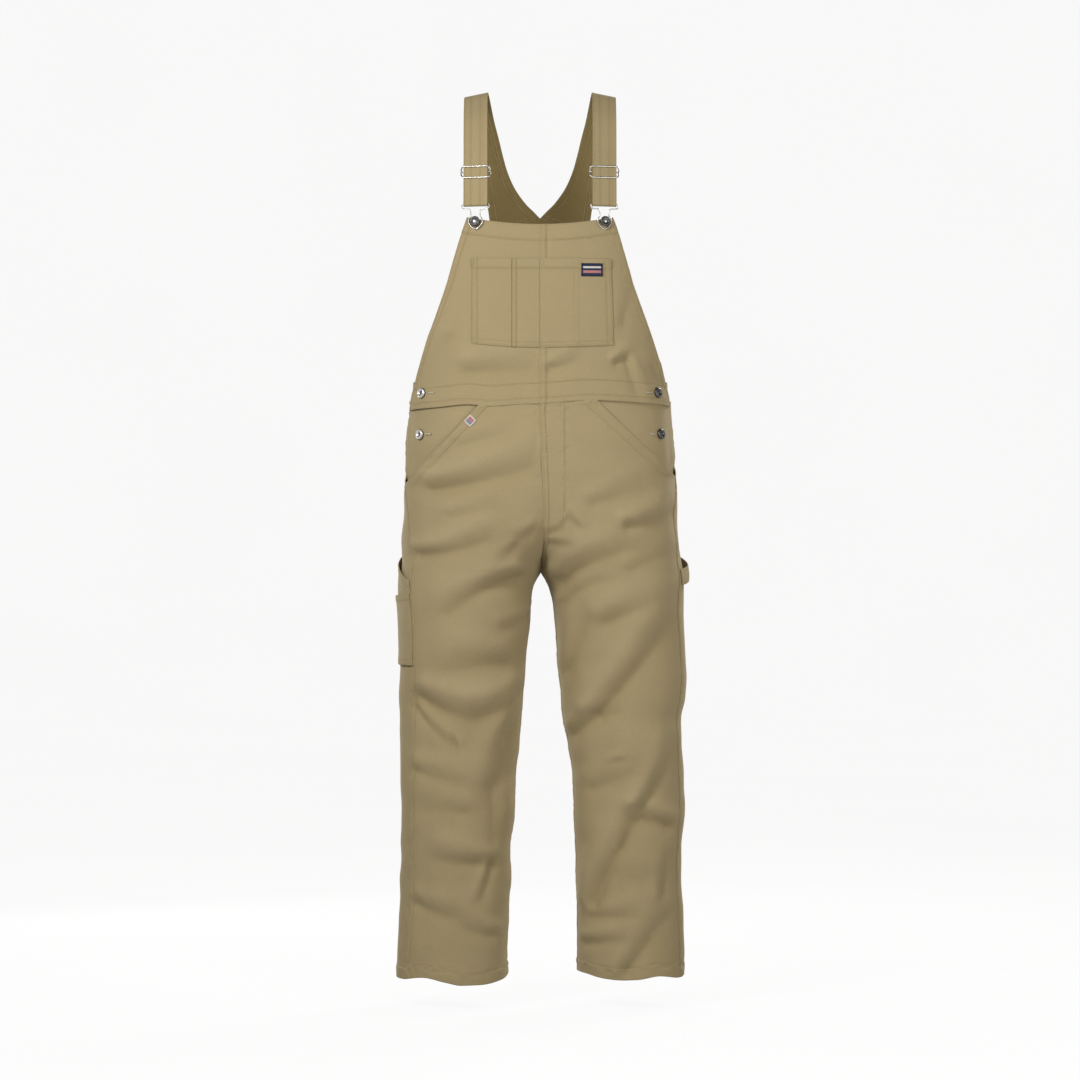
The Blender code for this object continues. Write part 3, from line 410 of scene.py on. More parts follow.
BODY = {side: leg_tracks(label, side) for side, label in SIDES.items()}
BIB_X = Track(*zip(*BIB_EDGE))
ARM_X = Track(*zip(*ARM_EDGE))
YOKE_X = Track(*zip(*YOKE_EDGE))
YOKE_DROP = Track(*zip(*[(x, z) for z, x in YOKE_EDGE]))
WANDER = Track(*zip(*WAIST_WANDER))
TOOL_EDGE = Track(*zip(*TOOL_BACK))
HEM_TRACK = table_tracks(HEM_LINE, HEM_COLUMNS)


def power(value, exponent):
    return np.sign(value) * np.abs(value) ** exponent


def angle_at(side, z, x, face="front"):
    """The angle round the section where the cloth is x millimetres out from the middle."""
    b = BODY[side]
    ratio = np.clip((b["middle"](z) - x) / b["half"](z), -1.0, 1.0)
    t = np.arccos(np.clip(power(ratio, 1 / b["oval"](z)), -1.0, 1.0))
    return t if face == "front" else 2 * math.pi - t


def centre_angle(side, z, over=0.0):
    """The front angle of the centre seam above the fork, and of the inseam below it."""
    b = BODY[side]
    least = (SEAM / 2 - over) / ((b["front"](z) + b["back"](z)) / 2)
    t = angle_at(side, z, b["centre"](z) + SEAM / 2 - over)
    return np.where(z <= FORK_Z, least, np.maximum(least, t))


def seam_angle(side, z):
    return np.radians(BODY[side]["seam"](z))


def fold_sum(side, face, x, z):
    """How far the folds of one face move the cloth outwards."""
    total = np.zeros(np.shape(x))
    for x1, z1, x2, z2, wide, deep, bow in FOLDS[side, face]:
        dx = x2 - x1
        dz = z2 - z1
        length = math.hypot(dx, dz)
        s = ((x - x1) * dx + (z - z1) * dz) / length ** 2
        along = np.clip(s, 0.0, 1.0)
        reach = wide * (0.8 + 0.45 * along)
        below = ((x - x1) * dz - (z - z1) * dx) / length * (-1 if dx < 0 else 1)
        gap = (below - bow * 4 * along * (1 - along)) / reach - TROUGH_BELOW
        past = (s - along) * length / reach
        run = np.sqrt(gap ** 2 + past ** 2 + 0.05) - 0.22
        size = FOLD_DEPTH * deep * (1.0 - 0.5 * along)
        total -= size * np.exp(-1.5 * run)
        if deep > 0:
            total += 0.7 * size * np.exp(-1.1 * ((gap + 1.5) ** 2 + past ** 2))
    return total


def folds_at(side, x, z, t):
    return np.where(np.sin(t) > 0, fold_sum(side, "front", x, z), fold_sum(side, "back", x, z))


def section(side, z, t):
    """x, y and z of the smooth section, as if on the left, with its depth and half width."""
    b = BODY[side]
    z = z + 0.0 * t
    oval = b["oval"](z)
    depth = (b["front"](z) + b["back"](z)) / 2
    half = b["half"](z)
    x = b["middle"](z) - half * power(np.cos(t), oval)
    y = (b["back"](z) - b["front"](z)) / 2 - depth * power(np.sin(t), oval)
    return x, y, z, depth, half


def skin(side, z, t):
    """The cloth's face at heights z and angles t: the section moved out by its folds and soft waves."""
    x, y, z, depth, half = section(side, z, t)
    amount = folds_at(side, x, z, t) * np.minimum(1.0, 1.6 * np.abs(np.sin(t))) ** 0.8
    at_seam = smooth((z - FORK_Z - 10) / 30.0) * (1 - smooth(np.abs(x) / 18.0))
    amount = amount * (1 - 0.9 * at_seam)
    place = np.stack([side * x, y, z], axis=-1)
    calm = 0.45 + 0.55 * smooth((-470 - z) / 120)
    for waves, height in WAVES:
        amount = amount + waves(place) * height * calm
    out = unit(np.stack([-np.cos(t) * depth, -np.sin(t) * half], axis=-1))
    return np.stack([side * (x + out[..., 0] * amount), y + out[..., 1] * amount, z], axis=-1)


def roughly_out(side, t):
    return np.stack([-side * np.cos(t), -np.sin(t), 0 * t], axis=-1)


def outward(side, z, t):
    """The cloth's own normal, away from the body."""
    lean = skin(side, z + 1.5, t) - skin(side, z - 1.5, t)
    turn = skin(side, z, t + 0.012) - skin(side, z, t - 0.012)
    n = unit(np.cross(lean, turn))
    return n * np.where((n * roughly_out(side, t)).sum(axis=-1, keepdims=True) < 0, -1.0, 1.0)


def on_face(side, x, z, lift, face="front"):
    """Points lifted off the cloth at x outwards and height z, and their normals."""
    t = angle_at(side, z, x, face)
    n = outward(side, z, t)
    return skin(side, z, t) + n * lift, n


def spot(side, face, x, z, lift=0.0):
    """One point of on_face."""
    p, n = on_face(side, np.array([float(x)]), np.array([float(z)]), lift, face)
    return p[0], n[0]


def both_sides(x, z, face, make=skin):
    """Points, or normals, across a whole face; x counts to the wearer's left."""
    left, right = [make(side, z, angle_at(side, z, np.abs(x), face)) for side in (LEFT, RIGHT)]
    return np.where((x >= 0)[..., None], left, right)


def hem_drop(side, z, t):
    fade = np.clip((-1300 - z) / 132, 0.0, 1.0)
    return HEM_TRACK[SIDES[side]](np.degrees(t)) * fade ** 2


# ---------------- one cut piece of cloth
class Cloth:
    """A cut piece as a grid of points, with the distances from its four edges in millimetres."""

    def __init__(self, name, points, rough, sewing=None):
        self.name = name
        self.sewing = sewing
        self.rows = []
        self.p = points
        n = unit(np.cross(np.gradient(points, axis=0), np.gradient(points, axis=1)))
        self.n = -n if (n * rough).sum() < 0 else n
        self.left = lengths(points.transpose(1, 0, 2)).T
        self.right = self.left[:, -1:] - self.left
        self.top = lengths(points)
        self.bottom = self.top[-1:, :] - self.top
        self.ripple = PUCKER(points)
        self.rise = np.zeros(points.shape[:2])
        self.lift = np.zeros(points.shape[:2])
        # Painted light per point: 1 keeps the cloth's own colour, lower is painted shade, higher is painted
        # highlight.
        self.tone = np.ones(points.shape[:2])
        self.flat_wide = float(self.left[:, -1].max()) * MM
        self.flat_long = float(self.top[-1, :].max()) * MM
        a = points[1:, 1:] - points[:-1, :-1]
        b = points[1:, :-1] - points[:-1, 1:]
        self.flat_area = float(np.linalg.norm(np.cross(a, b), axis=2).sum() / 2) * MM * MM

    def strip(self, gap, wide, high, soft, share=1.0):
        """A raised strip from an edge inwards, ending in a soft step."""
        self.rise += high * (1 - smooth((gap - wide) / soft + 0.5)) * share

    def band(self, gap, wide, high=0.9, soft=1.2):
        """A strip of double cloth, with painted shade darkening the cloth along its step."""
        self.strip(gap, wide, high, soft)
        # Painted shade along the band's step.
        self.tone *= 1 - 0.10 * hill((gap - wide - soft * 0.5) / 1.2)

    def over(self, gap, share=1.0):
        """The edge that lies over its neighbour is carried clear of it, the whole wall."""
        shift = 1.1 * (1 - smooth((gap - OVER - 0.6) / 3.0)) * share
        self.lift += shift
        self.rise -= shift

    def groove(self, gap, at, deep=0.3, wide=0.9, share=1.0, dark=0.13):
        """The dent that a row of stitches pulls into the cloth, with painted shade that darkens the cloth in
        the dent.
        """
        near = hill((gap - at) / wide) * share
        self.rise -= deep * near
        # Painted shade in the stitch dent.
        self.tone *= 1 - dark * near

    def pucker(self, gap, at, reach=7.0, high=0.5, share=1.0):
        """Small ripples that the thread's tension leaves beside a seam."""
        self.rise += high * self.ripple * hill((gap - at) / reach) * share

    def soften(self, gap, drop=0.45, reach=0.9):
        """A free or folded edge is round, not square."""
        self.rise -= drop * (1 - np.clip(gap / reach, 0, 1)) ** 2

    def row(self, edge, at, keep=None, sewing=None):
        """Notes a row of stitches, sewn once the piece is closed."""
        down = edge not in ("top", "bottom", "low")
        self.rows.append((getattr(self, edge), at, down, keep, sewing or self.sewing))

    def edge(self, edge, seams=(), bands=(), over=False, soft=(), pucker=(), keep=None, deep=0.3, wide=0.9,
             sewing=None):
        """Bands, roundness, ripples and rows of stitches along one edge, all by their distance from it."""
        gap = getattr(self, edge)
        for band in bands:
            self.band(gap, *band)
        if over:
            self.over(gap)
        if soft is not None:
            self.soften(gap, *soft)
        if pucker:
            self.pucker(gap, *pucker)
        for at in seams:
            self.groove(gap, at, deep, wide)
            self.row(edge, at, keep, sewing)

    def turned(self, edges, second, drop=0.8):
        """Edges turned under and sewn down with a row near the fold and a second one further in."""
        for edge in edges:
            gap = getattr(self, edge)
            self.lift -= drop * hill((gap - 2.4) / 2.2) * 0.5
            self.edge(edge, (1.9,), soft=(0.9, 1.2), pucker=(3.0, 6.0, 0.4), deep=0.25)
            if second:
                self.edge(edge, (second,), soft=None)

    def hem(self):
        ripples = (HEM - 3, 9.0, 0.9)
        rise = [(HEM, 0.8, 1.6)]
        self.edge("bottom", (HEM - 1.5,), rise, soft=(0.6,), pucker=ripples, deep=0.35, sewing=SEW_HEM)

    def close(self):
        self.outer = self.p + self.n * (self.rise + self.lift)[..., None]
        self.inner = self.p + self.n * (self.lift - CLOTH)[..., None]
        thin = ((self.outer - self.inner) * self.n).sum(axis=-1) < LEAST_WALL
        self.inner[thin] = (self.outer - self.n * LEAST_WALL)[thin]

    def trace(self, gap, value, down=True, keep=None):
        """The line on the face where a distance has one value, with its normals."""
        face = self.outer
        d = gap - value
        n = self.n
        if not down:
            d = d.T
            face = face.transpose(1, 0, 2)
            n = n.transpose(1, 0, 2)
        hit = d[:, :-1] * d[:, 1:] <= 0
        rows = np.nonzero(hit.any(axis=1))[0]
        c = hit[rows].argmax(axis=1)
        w = d[rows, c] / (d[rows, c] - d[rows, c + 1] + 1e-9)
        w = np.clip(w, 0, 1)[:, None]
        line = face[rows, c] * (1 - w) + face[rows, c + 1] * w
        ns = unit(n[rows, c] * (1 - w) + n[rows, c + 1] * w)
        ok = slice(None) if keep is None else keep(line)
        return line[ok], ns[ok]


def new_mesh(name, verts, faces):
    """A smooth mesh from points in millimetres and faces with one number of corners."""
    mesh = bpy.data.meshes.new(name)
    mesh.vertices.add(len(verts))
    mesh.vertices.foreach_set("co", (verts * MM).ravel())
    mesh.loops.add(faces.size)
    mesh.loops.foreach_set("vertex_index", faces.ravel().astype(np.int32))
    mesh.polygons.add(len(faces))
    mesh.polygons.foreach_set("loop_start", np.arange(0, faces.size, faces.shape[1], dtype=np.int32))
    mesh.update()
    mesh.validate()
    mesh.shade_smooth()
    return mesh


def wall_mesh(name, outer, inner, u, v, tone, face_out=True):
    """The closed shell between two grids, with its weave coordinates and painted light on each point; its
    reverse face gets darker painted shade.
    """
    rows, cols = outer.shape[:2]
    size = rows * cols
    index = np.arange(size).reshape(rows, cols)
    quads = np.stack([index[:-1, :-1], index[1:, :-1], index[1:, 1:], index[:-1, 1:]], axis=-1).reshape(-1, 4)
    rim = np.concatenate([index[0, :], index[1:, -1], index[-1, -2::-1], index[-2:0:-1, 0]])
    after = np.roll(rim, -1)
    edge = np.stack([rim, after, after + size, rim + size], axis=-1)
    r = rows // 2
    c = cols // 2
    turn = np.cross(outer[r + 1, c] - outer[r, c], outer[r, c + 1] - outer[r, c])
    if turn @ (outer[r, c] - inner[r, c]) < 0:
        quads = quads[:, ::-1]
        edge = edge[:, ::-1]
    faces = np.concatenate([quads, quads[:, ::-1] + size, edge])
    mesh = new_mesh(name, np.concatenate([outer.reshape(-1, 3), inner.reshape(-1, 3)]), faces)
    face = np.stack([u.ravel() * MM, v.ravel() * MM, tone.ravel()], axis=-1)
    # Painted shade on the reverse face.
    reverse_shaded = face * (1, 1, REVERSE_PAINTED_SHADE)
    both = [face, reverse_shaded] if face_out else [reverse_shaded, face]
    weave = mesh.attributes.new("weave", "FLOAT_VECTOR", "POINT")
    weave.data.foreach_set("vector", np.concatenate(both).ravel())
    return mesh


def add_piece(name, mesh, look, nodes=()):
    mesh.name = name
    mesh.materials.append(look)
    ob = bpy.data.objects.new(name, mesh)
    bpy.context.scene.collection.objects.link(ob)
    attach(ob, "root")
    if nodes:
        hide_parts(*nodes)
    return ob


# ---------------- materials
def feed(tree, socket, value):
    """Sets an input to a number or a colour, or links it to an output."""
    if isinstance(value, (int, float)):
        socket.default_value = value
    elif isinstance(value, tuple):
        socket.default_value = (*value, 1.0)
    else:
        tree.links.new(value, socket)


def new_material(name, rough, metal=0.0, specular=0.3):
    m = bpy.data.materials.new(name)
    m.use_nodes = True
    shader = m.node_tree.nodes["Principled BSDF"]
    shader.inputs["Roughness"].default_value = rough
    shader.inputs["Metallic"].default_value = metal
    shader.inputs["Specular IOR Level"].default_value = specular
    return m, m.node_tree, shader


def math_node(tree, operation, *values):
    node = tree.nodes.new("ShaderNodeMath")
    node.operation = operation
    for socket, value in zip(node.inputs, values):
        feed(tree, socket, value)
    return node.outputs[0]


def mix_colour(tree, factor, a, b, blend="MIX"):
    node = tree.nodes.new("ShaderNodeMix")
    node.data_type = "RGBA"
    node.blend_type = blend
    for socket, value in zip((node.inputs[0], node.inputs[6], node.inputs[7]), (factor, a, b)):
        feed(tree, socket, value)
    return node.outputs[2]


def vector_node(tree, x, y, z=0.0):
    node = tree.nodes.new("ShaderNodeCombineXYZ")
    for socket, value in zip(node.inputs, (x, y, z)):
        feed(tree, socket, value)
    return node.outputs[0]


def noise_node(tree, vector, scale, detail=2.0, rough=0.5):
    node = tree.nodes.new("ShaderNodeTexNoise")
    node.inputs["Scale"].default_value = scale
    node.inputs["Detail"].default_value = detail
    node.inputs["Roughness"].default_value = rough
    tree.links.new(vector, node.inputs["Vector"])
    return node.outputs[0]


def streaks(tree, u, v, along_u, along_v, detail=2.0):
    """Noise with its own scale along and across the cloth."""
    u = math_node(tree, "MULTIPLY", u, along_u)
    v = math_node(tree, "MULTIPLY", v, along_v)
    return noise_node(tree, vector_node(tree, u, v), 1.0, detail)


def weighted(tree, a, share_a, b, share_b):
    return math_node(tree, "MULTIPLY_ADD", a, share_a, math_node(tree, "MULTIPLY", b, share_b))


def bump(tree, shader, height, strength, distance):
    """A bump on top of those that the shader has."""
    node = tree.nodes.new("ShaderNodeBump")
    node.inputs["Strength"].default_value = strength
    node.inputs["Distance"].default_value = distance
    tree.links.new(height, node.inputs["Height"])
    normal = shader.inputs["Normal"]
    if normal.is_linked:
        tree.links.new(normal.links[0].from_socket, node.inputs["Normal"])
    tree.links.new(node.outputs[0], normal)


def twill_material(name, light, dark, pitch=0.6, streak=0.05, sheen=0.1):
    """Cotton twill: diagonal wales, uneven yarns along and across, and painted shade and highlight from the
    painted light attribute, more saturated where darker.
    """
    m, tree, shader = new_material(name, 0.88, 0.0, 0.15)
    shader.inputs["Sheen Weight"].default_value = sheen
    shader.inputs["Sheen Roughness"].default_value = 0.45
    shader.inputs["Sheen Tint"].default_value = (1.0, 0.93, 0.78, 1.0)
    attribute = tree.nodes.new("ShaderNodeAttribute")
    attribute.attribute_name = "weave"
    parts = tree.nodes.new("ShaderNodeSeparateXYZ")
    tree.links.new(attribute.outputs["Vector"], parts.inputs[0])
    u, v, tone = parts.outputs
    turn = 2 * math.pi / (pitch * MM)
    wale = math_node(tree, "SINE", math_node(tree, "MULTIPLY", math_node(tree, "ADD", u, v), turn))
    wale = math_node(tree, "MULTIPLY_ADD", wale, 0.5, 0.5)
    yarn = weighted(tree, streaks(tree, u, v, 1400.0, 45.0), 0.6, streaks(tree, u, v, 45.0, 1400.0), 0.4)
    colour = mix_colour(tree, weighted(tree, wale, 0.34, yarn, 0.66), dark, light)
    cloud = noise_node(tree, vector_node(tree, u, v), 14.0, 3.0)
    slub = streaks(tree, u, v, 620.0, 260.0, 3.0)
    for noise, amount, base in ((cloud, streak, 1.0 - streak / 2), (slub, 0.22, 0.89)):
        grey = math_node(tree, "MULTIPLY_ADD", noise, amount, base)
        colour = mix_colour(tree, 1.0, colour, vector_node(tree, grey, grey, grey), "MULTIPLY")
    # Painted shade and highlight from the per-point painted light, more saturated where darker.
    painted_light_tint = vector_node(tree, tone, math_node(tree, "POWER", tone, 1.13), math_node(tree, "POWER", tone, 1.7))
    tree.links.new(mix_colour(tree, 1.0, colour, painted_light_tint, "MULTIPLY"), shader.inputs["Base Color"])
    bump(tree, shader, noise_node(tree, vector_node(tree, u, v), 48.0, 3.0, 0.55), 0.35, 0.0016)
    bump(tree, shader, weighted(tree, wale, 0.6, yarn, 0.8), 0.5, 0.0003)
    return m


def grained(name, rough, metal, specular, scale, detail, low, high):
    """A material with fine noise between two colours, and that noise."""
    m, tree, shader = new_material(name, rough, metal, specular)
    where = tree.nodes.new("ShaderNodeTexCoord").outputs["Object"]
    noise = noise_node(tree, where, scale, detail)
    tree.links.new(mix_colour(tree, noise, low, high), shader.inputs["Base Color"])
    return m, tree, shader, noise


def metal_material(name, colour, rough):
    low = tuple(c * 0.88 for c in colour)
    m, tree, shader, cloud = grained(name, rough, 1.0, 0.5, 900.0, 4.0, low, colour)
    tree.links.new(math_node(tree, "MULTIPLY_ADD", cloud, 0.18, rough - 0.09), shader.inputs["Roughness"])
    bump(tree, shader, cloud, 0.12, 0.0001)
    return m


def thread_material(name, light, dark):
    m, tree, shader, fuzz = grained(name, 0.75, 0.0, 0.3, 2600.0, 2.0, dark, light)
    bump(tree, shader, fuzz, 0.4, 0.0002)
    return m


KHAKI = twill_material("khaki_twill_cloth", (0.384, 0.306, 0.172), (0.288, 0.227, 0.122), 0.9, 0.08, 0.12)
THREAD = thread_material("khaki_thread", (0.50, 0.42, 0.265), (0.38, 0.31, 0.185))
PALE_THREAD = thread_material("pale_thread", (0.60, 0.53, 0.37), (0.46, 0.40, 0.26))
NAVY = twill_material("navy_woven_label", (0.030, 0.036, 0.075), (0.016, 0.020, 0.045))
WHITE_WEAVE = twill_material("white_woven_edge", (0.62, 0.61, 0.58), (0.50, 0.49, 0.46))
ROSE_WEAVE = twill_material("rose_woven_field", (0.46, 0.20, 0.21), (0.36, 0.14, 0.15))
SLATE_WEAVE = twill_material("slate_woven_field", (0.22, 0.25, 0.34), (0.15, 0.18, 0.25))
REFLEX = twill_material("grey_reflex_piping", (0.50, 0.49, 0.47), (0.17, 0.165, 0.16), 3.2)
NICKEL = metal_material("nickel_wire_metal", (0.41, 0.40, 0.37), 0.32)
GUNMETAL = metal_material("gunmetal_button", (0.075, 0.073, 0.070), 0.42)
SILVER = metal_material("silver_button_cap", (0.50, 0.49, 0.47), 0.34)
DARK_HOLE = new_material("button_hollow", 0.8, 0.0, 0.2)[0]


# ---------------- sewing
class Sewing:
    """Stitches gathered into one mesh: each is a short thread that dips into the cloth at both ends."""

    def __init__(self, name, look=THREAD):
        self.name = name
        self.look = look
        self.verts = []

    def row(self, line, normals, pitch=3.1, thread=0.3, fill=0.76):
        if len(line) < 2:
            return
        at = lengths(line)
        count = int(at[-1] / pitch)
        if count < 1:
            return
        start = (np.arange(count) + 0.12) * pitch
        ends = along_line(at, line, start + fill * pitch)
        self.threads(along_line(at, line, start), ends, unit(along_line(at, normals, start)), thread)

    def threads(self, a, b, n, thread=0.3):
        """Threads from each point of a to that of b, as tubes of four sides with pointed ends."""
        d = unit(b - a)
        w = unit(np.cross(d, n))
        up = np.cross(w, d)
        up = up * np.sign((up * n).sum(axis=-1, keepdims=True) + 1e-12)
        length = np.linalg.norm(b - a, axis=-1, keepdims=True)
        ring = []
        for c in (a + d * length * 0.18, b - d * length * 0.18):
            ring += [c + n * thread * 0.55 + side * thread for side in (w, up, -w, -up)]
        low = n * thread * 0.3
        self.verts.append(np.stack([a - low] + ring + [b - low], axis=1))

    def build(self):
        verts = np.concatenate(self.verts)
        tris = []
        for k in range(4):
            m = (k + 1) % 4
            tris += [(0, 1 + m, 1 + k), (1 + k, 1 + m, 5 + m), (1 + k, 5 + m, 5 + k), (9, 5 + k, 5 + m)]
        faces = (np.array(tris)[None] + 10 * np.arange(len(verts))[:, None, None]).reshape(-1, 3)
        add_piece(self.name, new_mesh(self.name, verts.reshape(-1, 3), faces), self.look)


SEW_BIB = Sewing("stitching_bib")
SEW_FRONT = Sewing("stitching_front_legs")
SEW_BACK = Sewing("stitching_back")
SEW_STRAPS = Sewing("stitching_straps")
SEW_TRIM = Sewing("stitching_pockets")
SEW_HEM = Sewing("stitching_hems", PALE_THREAD)
SLITS = Sewing("buttonhole_slits", DARK_HOLE)


def sew_path(sewing, side, path, lift=-0.1, inside=False):
    """A row of stitches along a path of straight steps on the front, on its face or on its inside."""
    p = np.array(path, float)
    s = lengths(p)
    x, z = along_line(s, p, np.linspace(0, s[-1], max(2, int(s[-1] / 1.5)))).T
    line, n = on_face(side, x, z, lift)
    if inside:
        line = line - n * (CLOTH + 0.1)
        n = -n
    sewing.row(line, n)


def bartack(sewing, side, x, z, dx, dz, lift=0.3, face="front", wide=1.9):
    """A short bar of close stitches, dx and dz long, across which each thread runs."""
    length = math.hypot(dx, dz)
    k = np.linspace(0, 1, max(6, int(length / 0.42)))
    across = (-dz / length * wide / 2, dx / length * wide / 2)
    a, n = on_face(side, x + dx * k + across[0], z + dz * k + across[1], lift, face)
    b = on_face(side, x + dx * k - across[0], z + dz * k - across[1], lift, face)[0]
    sewing.threads(a, b, n, 0.27)


def buttonhole(side, x, z, long, lift, face="front"):
    """A dark slit between two bars of close stitches."""
    for off in (-0.95, 0.95):
        bartack(SEW_TRIM, side, x, z + off, -long, 0.0, lift + 0.1, face, 1.1)
    bartack(SEW_TRIM, side, x - long, z - 1.2, 0.0, 2.4, lift + 0.2, face, 1.2)
    a, n = spot(side, face, x, z, lift + 0.2)
    b = spot(side, face, x - long, z, lift + 0.2)[0]
    SLITS.threads(a[None], b[None], n[None], 0.42)


def finish_cloth(cloth, held="hung", look=KHAKI, face_out=True):
    """Closes a piece into its shell, places it and sews its rows of stitches."""
    cloth.close()
    across = cloth.left - cloth.left[:, -1:] / 2
    mesh = wall_mesh(cloth.name, cloth.outer, cloth.inner, across, cloth.top, cloth.tone, face_out)
    nodes = (cloth.name,) if held == "hung" else ()
    ob = add_piece(cloth.name + "_cloth", mesh, look, nodes)
    for gap, at, down, keep, sewing in cloth.rows:
        sewing.row(*cloth.trace(gap, at, down, keep))


def fixed_ends(layout, width, total, edge_a, edge_b):
    """Distances along rows of given lengths: as laid out near both edges, stretched evenly between them."""
    shrink = np.minimum(1.0, 0.92 * total / (edge_a + edge_b))
    stretch = (total - (edge_a + edge_b) * shrink) / (width - edge_a - edge_b)
    middle = edge_a * shrink + (layout - edge_a) * stretch
    near_b = total - (width - layout) * shrink
    return np.where(layout < edge_a, layout * shrink, np.where(layout > width - edge_b, near_b, middle))


def spaced(side, z, a, b, width, layout, edge_a, edge_b):
    """Angles for each row from a to b, spaced by fixed_ends."""
    t = a[:, None] + (b - a)[:, None] * np.linspace(0, 1, 150)
    place = np.stack(section(side, z[:, None], t)[:3], axis=-1)
    s = lengths(place.transpose(1, 0, 2)).T
    want = fixed_ends(layout, width, s[:, -1:], edge_a, edge_b)
    return np.stack([np.interp(row, at, angle) for row, at, angle in zip(want, s, t)])


def cloth_on_body(name, side, z, t, sewing):
    """A panel of the garment's surface, with painted highlight on raised folds and painted shade in troughs.
    """
    cloth = Cloth(name, skin(side, z, t), roughly_out(side, t), sewing)
    x = section(side, z, t)[0]
    # Painted highlight on fold ridges and painted shade in fold troughs.
    cloth.tone *= 1 + FOLD_PAINTED_LIGHT * np.clip(folds_at(side, x, z, t), -8, 6)
    return cloth


def path_gap(x, z, path):
    """Distance, in the front view, from a path of straight steps."""
    best = np.full(np.shape(x), FAR)
    for (x1, z1), (x2, z2) in zip(path, path[1:]):
        share = ((x - x1) * (x2 - x1) + (z - z1) * (z2 - z1)) / ((x2 - x1) ** 2 + (z2 - z1) ** 2)
        share = np.clip(share, 0.0, 1.0)
        best = np.minimum(best, np.hypot(x - x1 - share * (x2 - x1), z - z1 - share * (z2 - z1)))
    return best


def distances(points, edge, parts):
    """Distance of each grid point from an edge, which is divided at the given shares of its steps."""
    dense = np.concatenate([edge[:-1] + (edge[1:] - edge[:-1]) * share for share in parts])
    tree = KDTree(len(dense))
    for i, p in enumerate(dense):
        tree.insert(Vector(p), i)
    tree.balance()
    return np.array([tree.find(Vector(p))[2] for p in points.reshape(-1, 3)]).reshape(points.shape[:2])


# ---------------- bib
def under_top(x, z):
    """Heights that follow the bib's curved top edge, less and less further down."""
    return z + 11 * (x / 112) ** 2 * np.maximum(0.0, 1 - (BIB_TOP - z) / 90)


def waist_wander(side, x, z, above, below):
    """The waist seam's small wander, fading out above and below it."""
    fade = np.where(z > WAIST_Z, 1 - (z - WAIST_Z) / above, 1 - (WAIST_Z - z) / below)
    return WANDER(side * x) * smooth(fade)


def bib_sheet(side, label):
    start = 0.0 if side < 0 else -OVER
    width = 206 - start
    high = BIB_TOP - WAIST_Z
    close = ((0, 4, 0.8), (25, 2, 0.9), (253, 2, 0.9), (278, 2, 0.9), (high, 4, 0.8))
    z = BIB_TOP - ladder(high + OVER, 3.2, close)
    across = ladder(width, 3.2, ((0, 12, 0.8), (width, 13, 0.9)))
    x = start + fixed_ends(across, width, (BIB_X(z) - start)[:, None], 15.0, 15.0)
    if side < 0:
        x = np.maximum(x, SEAM / 2)
    zz = under_top(x, z[:, None])
    zz = zz + waist_wander(side, x, zz, 70, 80)
    cloth = cloth_on_body("bib_" + label, side, zz, angle_at(side, zz, x), SEW_BIB)
    if side > 0:
        cloth.edge("left", (3.4, 9.8), [(11.5, 1.0)], True, pucker=(7.0, 9.0))
    cloth.edge("right", (2.2, 9.6), [(11.0, 0.7)], pucker=(6.0, 8.0))
    cloth.edge("top", (1.8, 24.5), [(26.0, 0.6)], pucker=(24.5, 6.0))
    cloth.edge("bottom", (8.4, 33.0), [(32.0, 0.35, 2.0), (9.0, 0.8)], True, pucker=(8.0, 9.0))
    finish_cloth(cloth)


def facing_sheet():
    z = (BIB_TOP - 0.5 - ladder(28.5, 1.6))[:, None]
    x = np.linspace(-1, 1, 90) * (BIB_X(z) - 4.0)
    zz = under_top(x, z)
    out = both_sides(x, zz, "front", outward)
    cloth = Cloth("bib_facing", both_sides(x, zz, "front") - out * (CLOTH + 0.6), out)
    cloth.soften(cloth.bottom)
    finish_cloth(cloth)


# ---------------- patches sewn on a panel
def patch_cloth(name, side, face, corners, lift, pitch=3.0, edge=13.0, fine=0.9, sewing=None):
    """A patch between four corners (x, z): top inner, top outer, bottom outer, bottom inner."""
    ti, to, bo, bi = corners
    wide = abs(to[0] - ti[0])
    high = abs(bi[1] - ti[1])
    u = ladder(wide, pitch, ((0, edge, fine), (wide, edge, fine))) / wide
    v = (ladder(high, pitch, ((0, edge, fine), (high, edge, fine))) / high)[:, None]
    zi = ti[1] + (bi[1] - ti[1]) * v
    zo = to[1] + (bo[1] - to[1]) * v
    a = angle_at(side, zi, ti[0] + (bi[0] - ti[0]) * v, face)
    b = angle_at(side, zo, to[0] + (bo[0] - to[0]) * v, face)
    z = zi + (zo - zi) * u
    t = a + (b - a) * u
    return Cloth(name, skin(side, z, t) + outward(side, z, t) * lift, roughly_out(side, t), sewing)


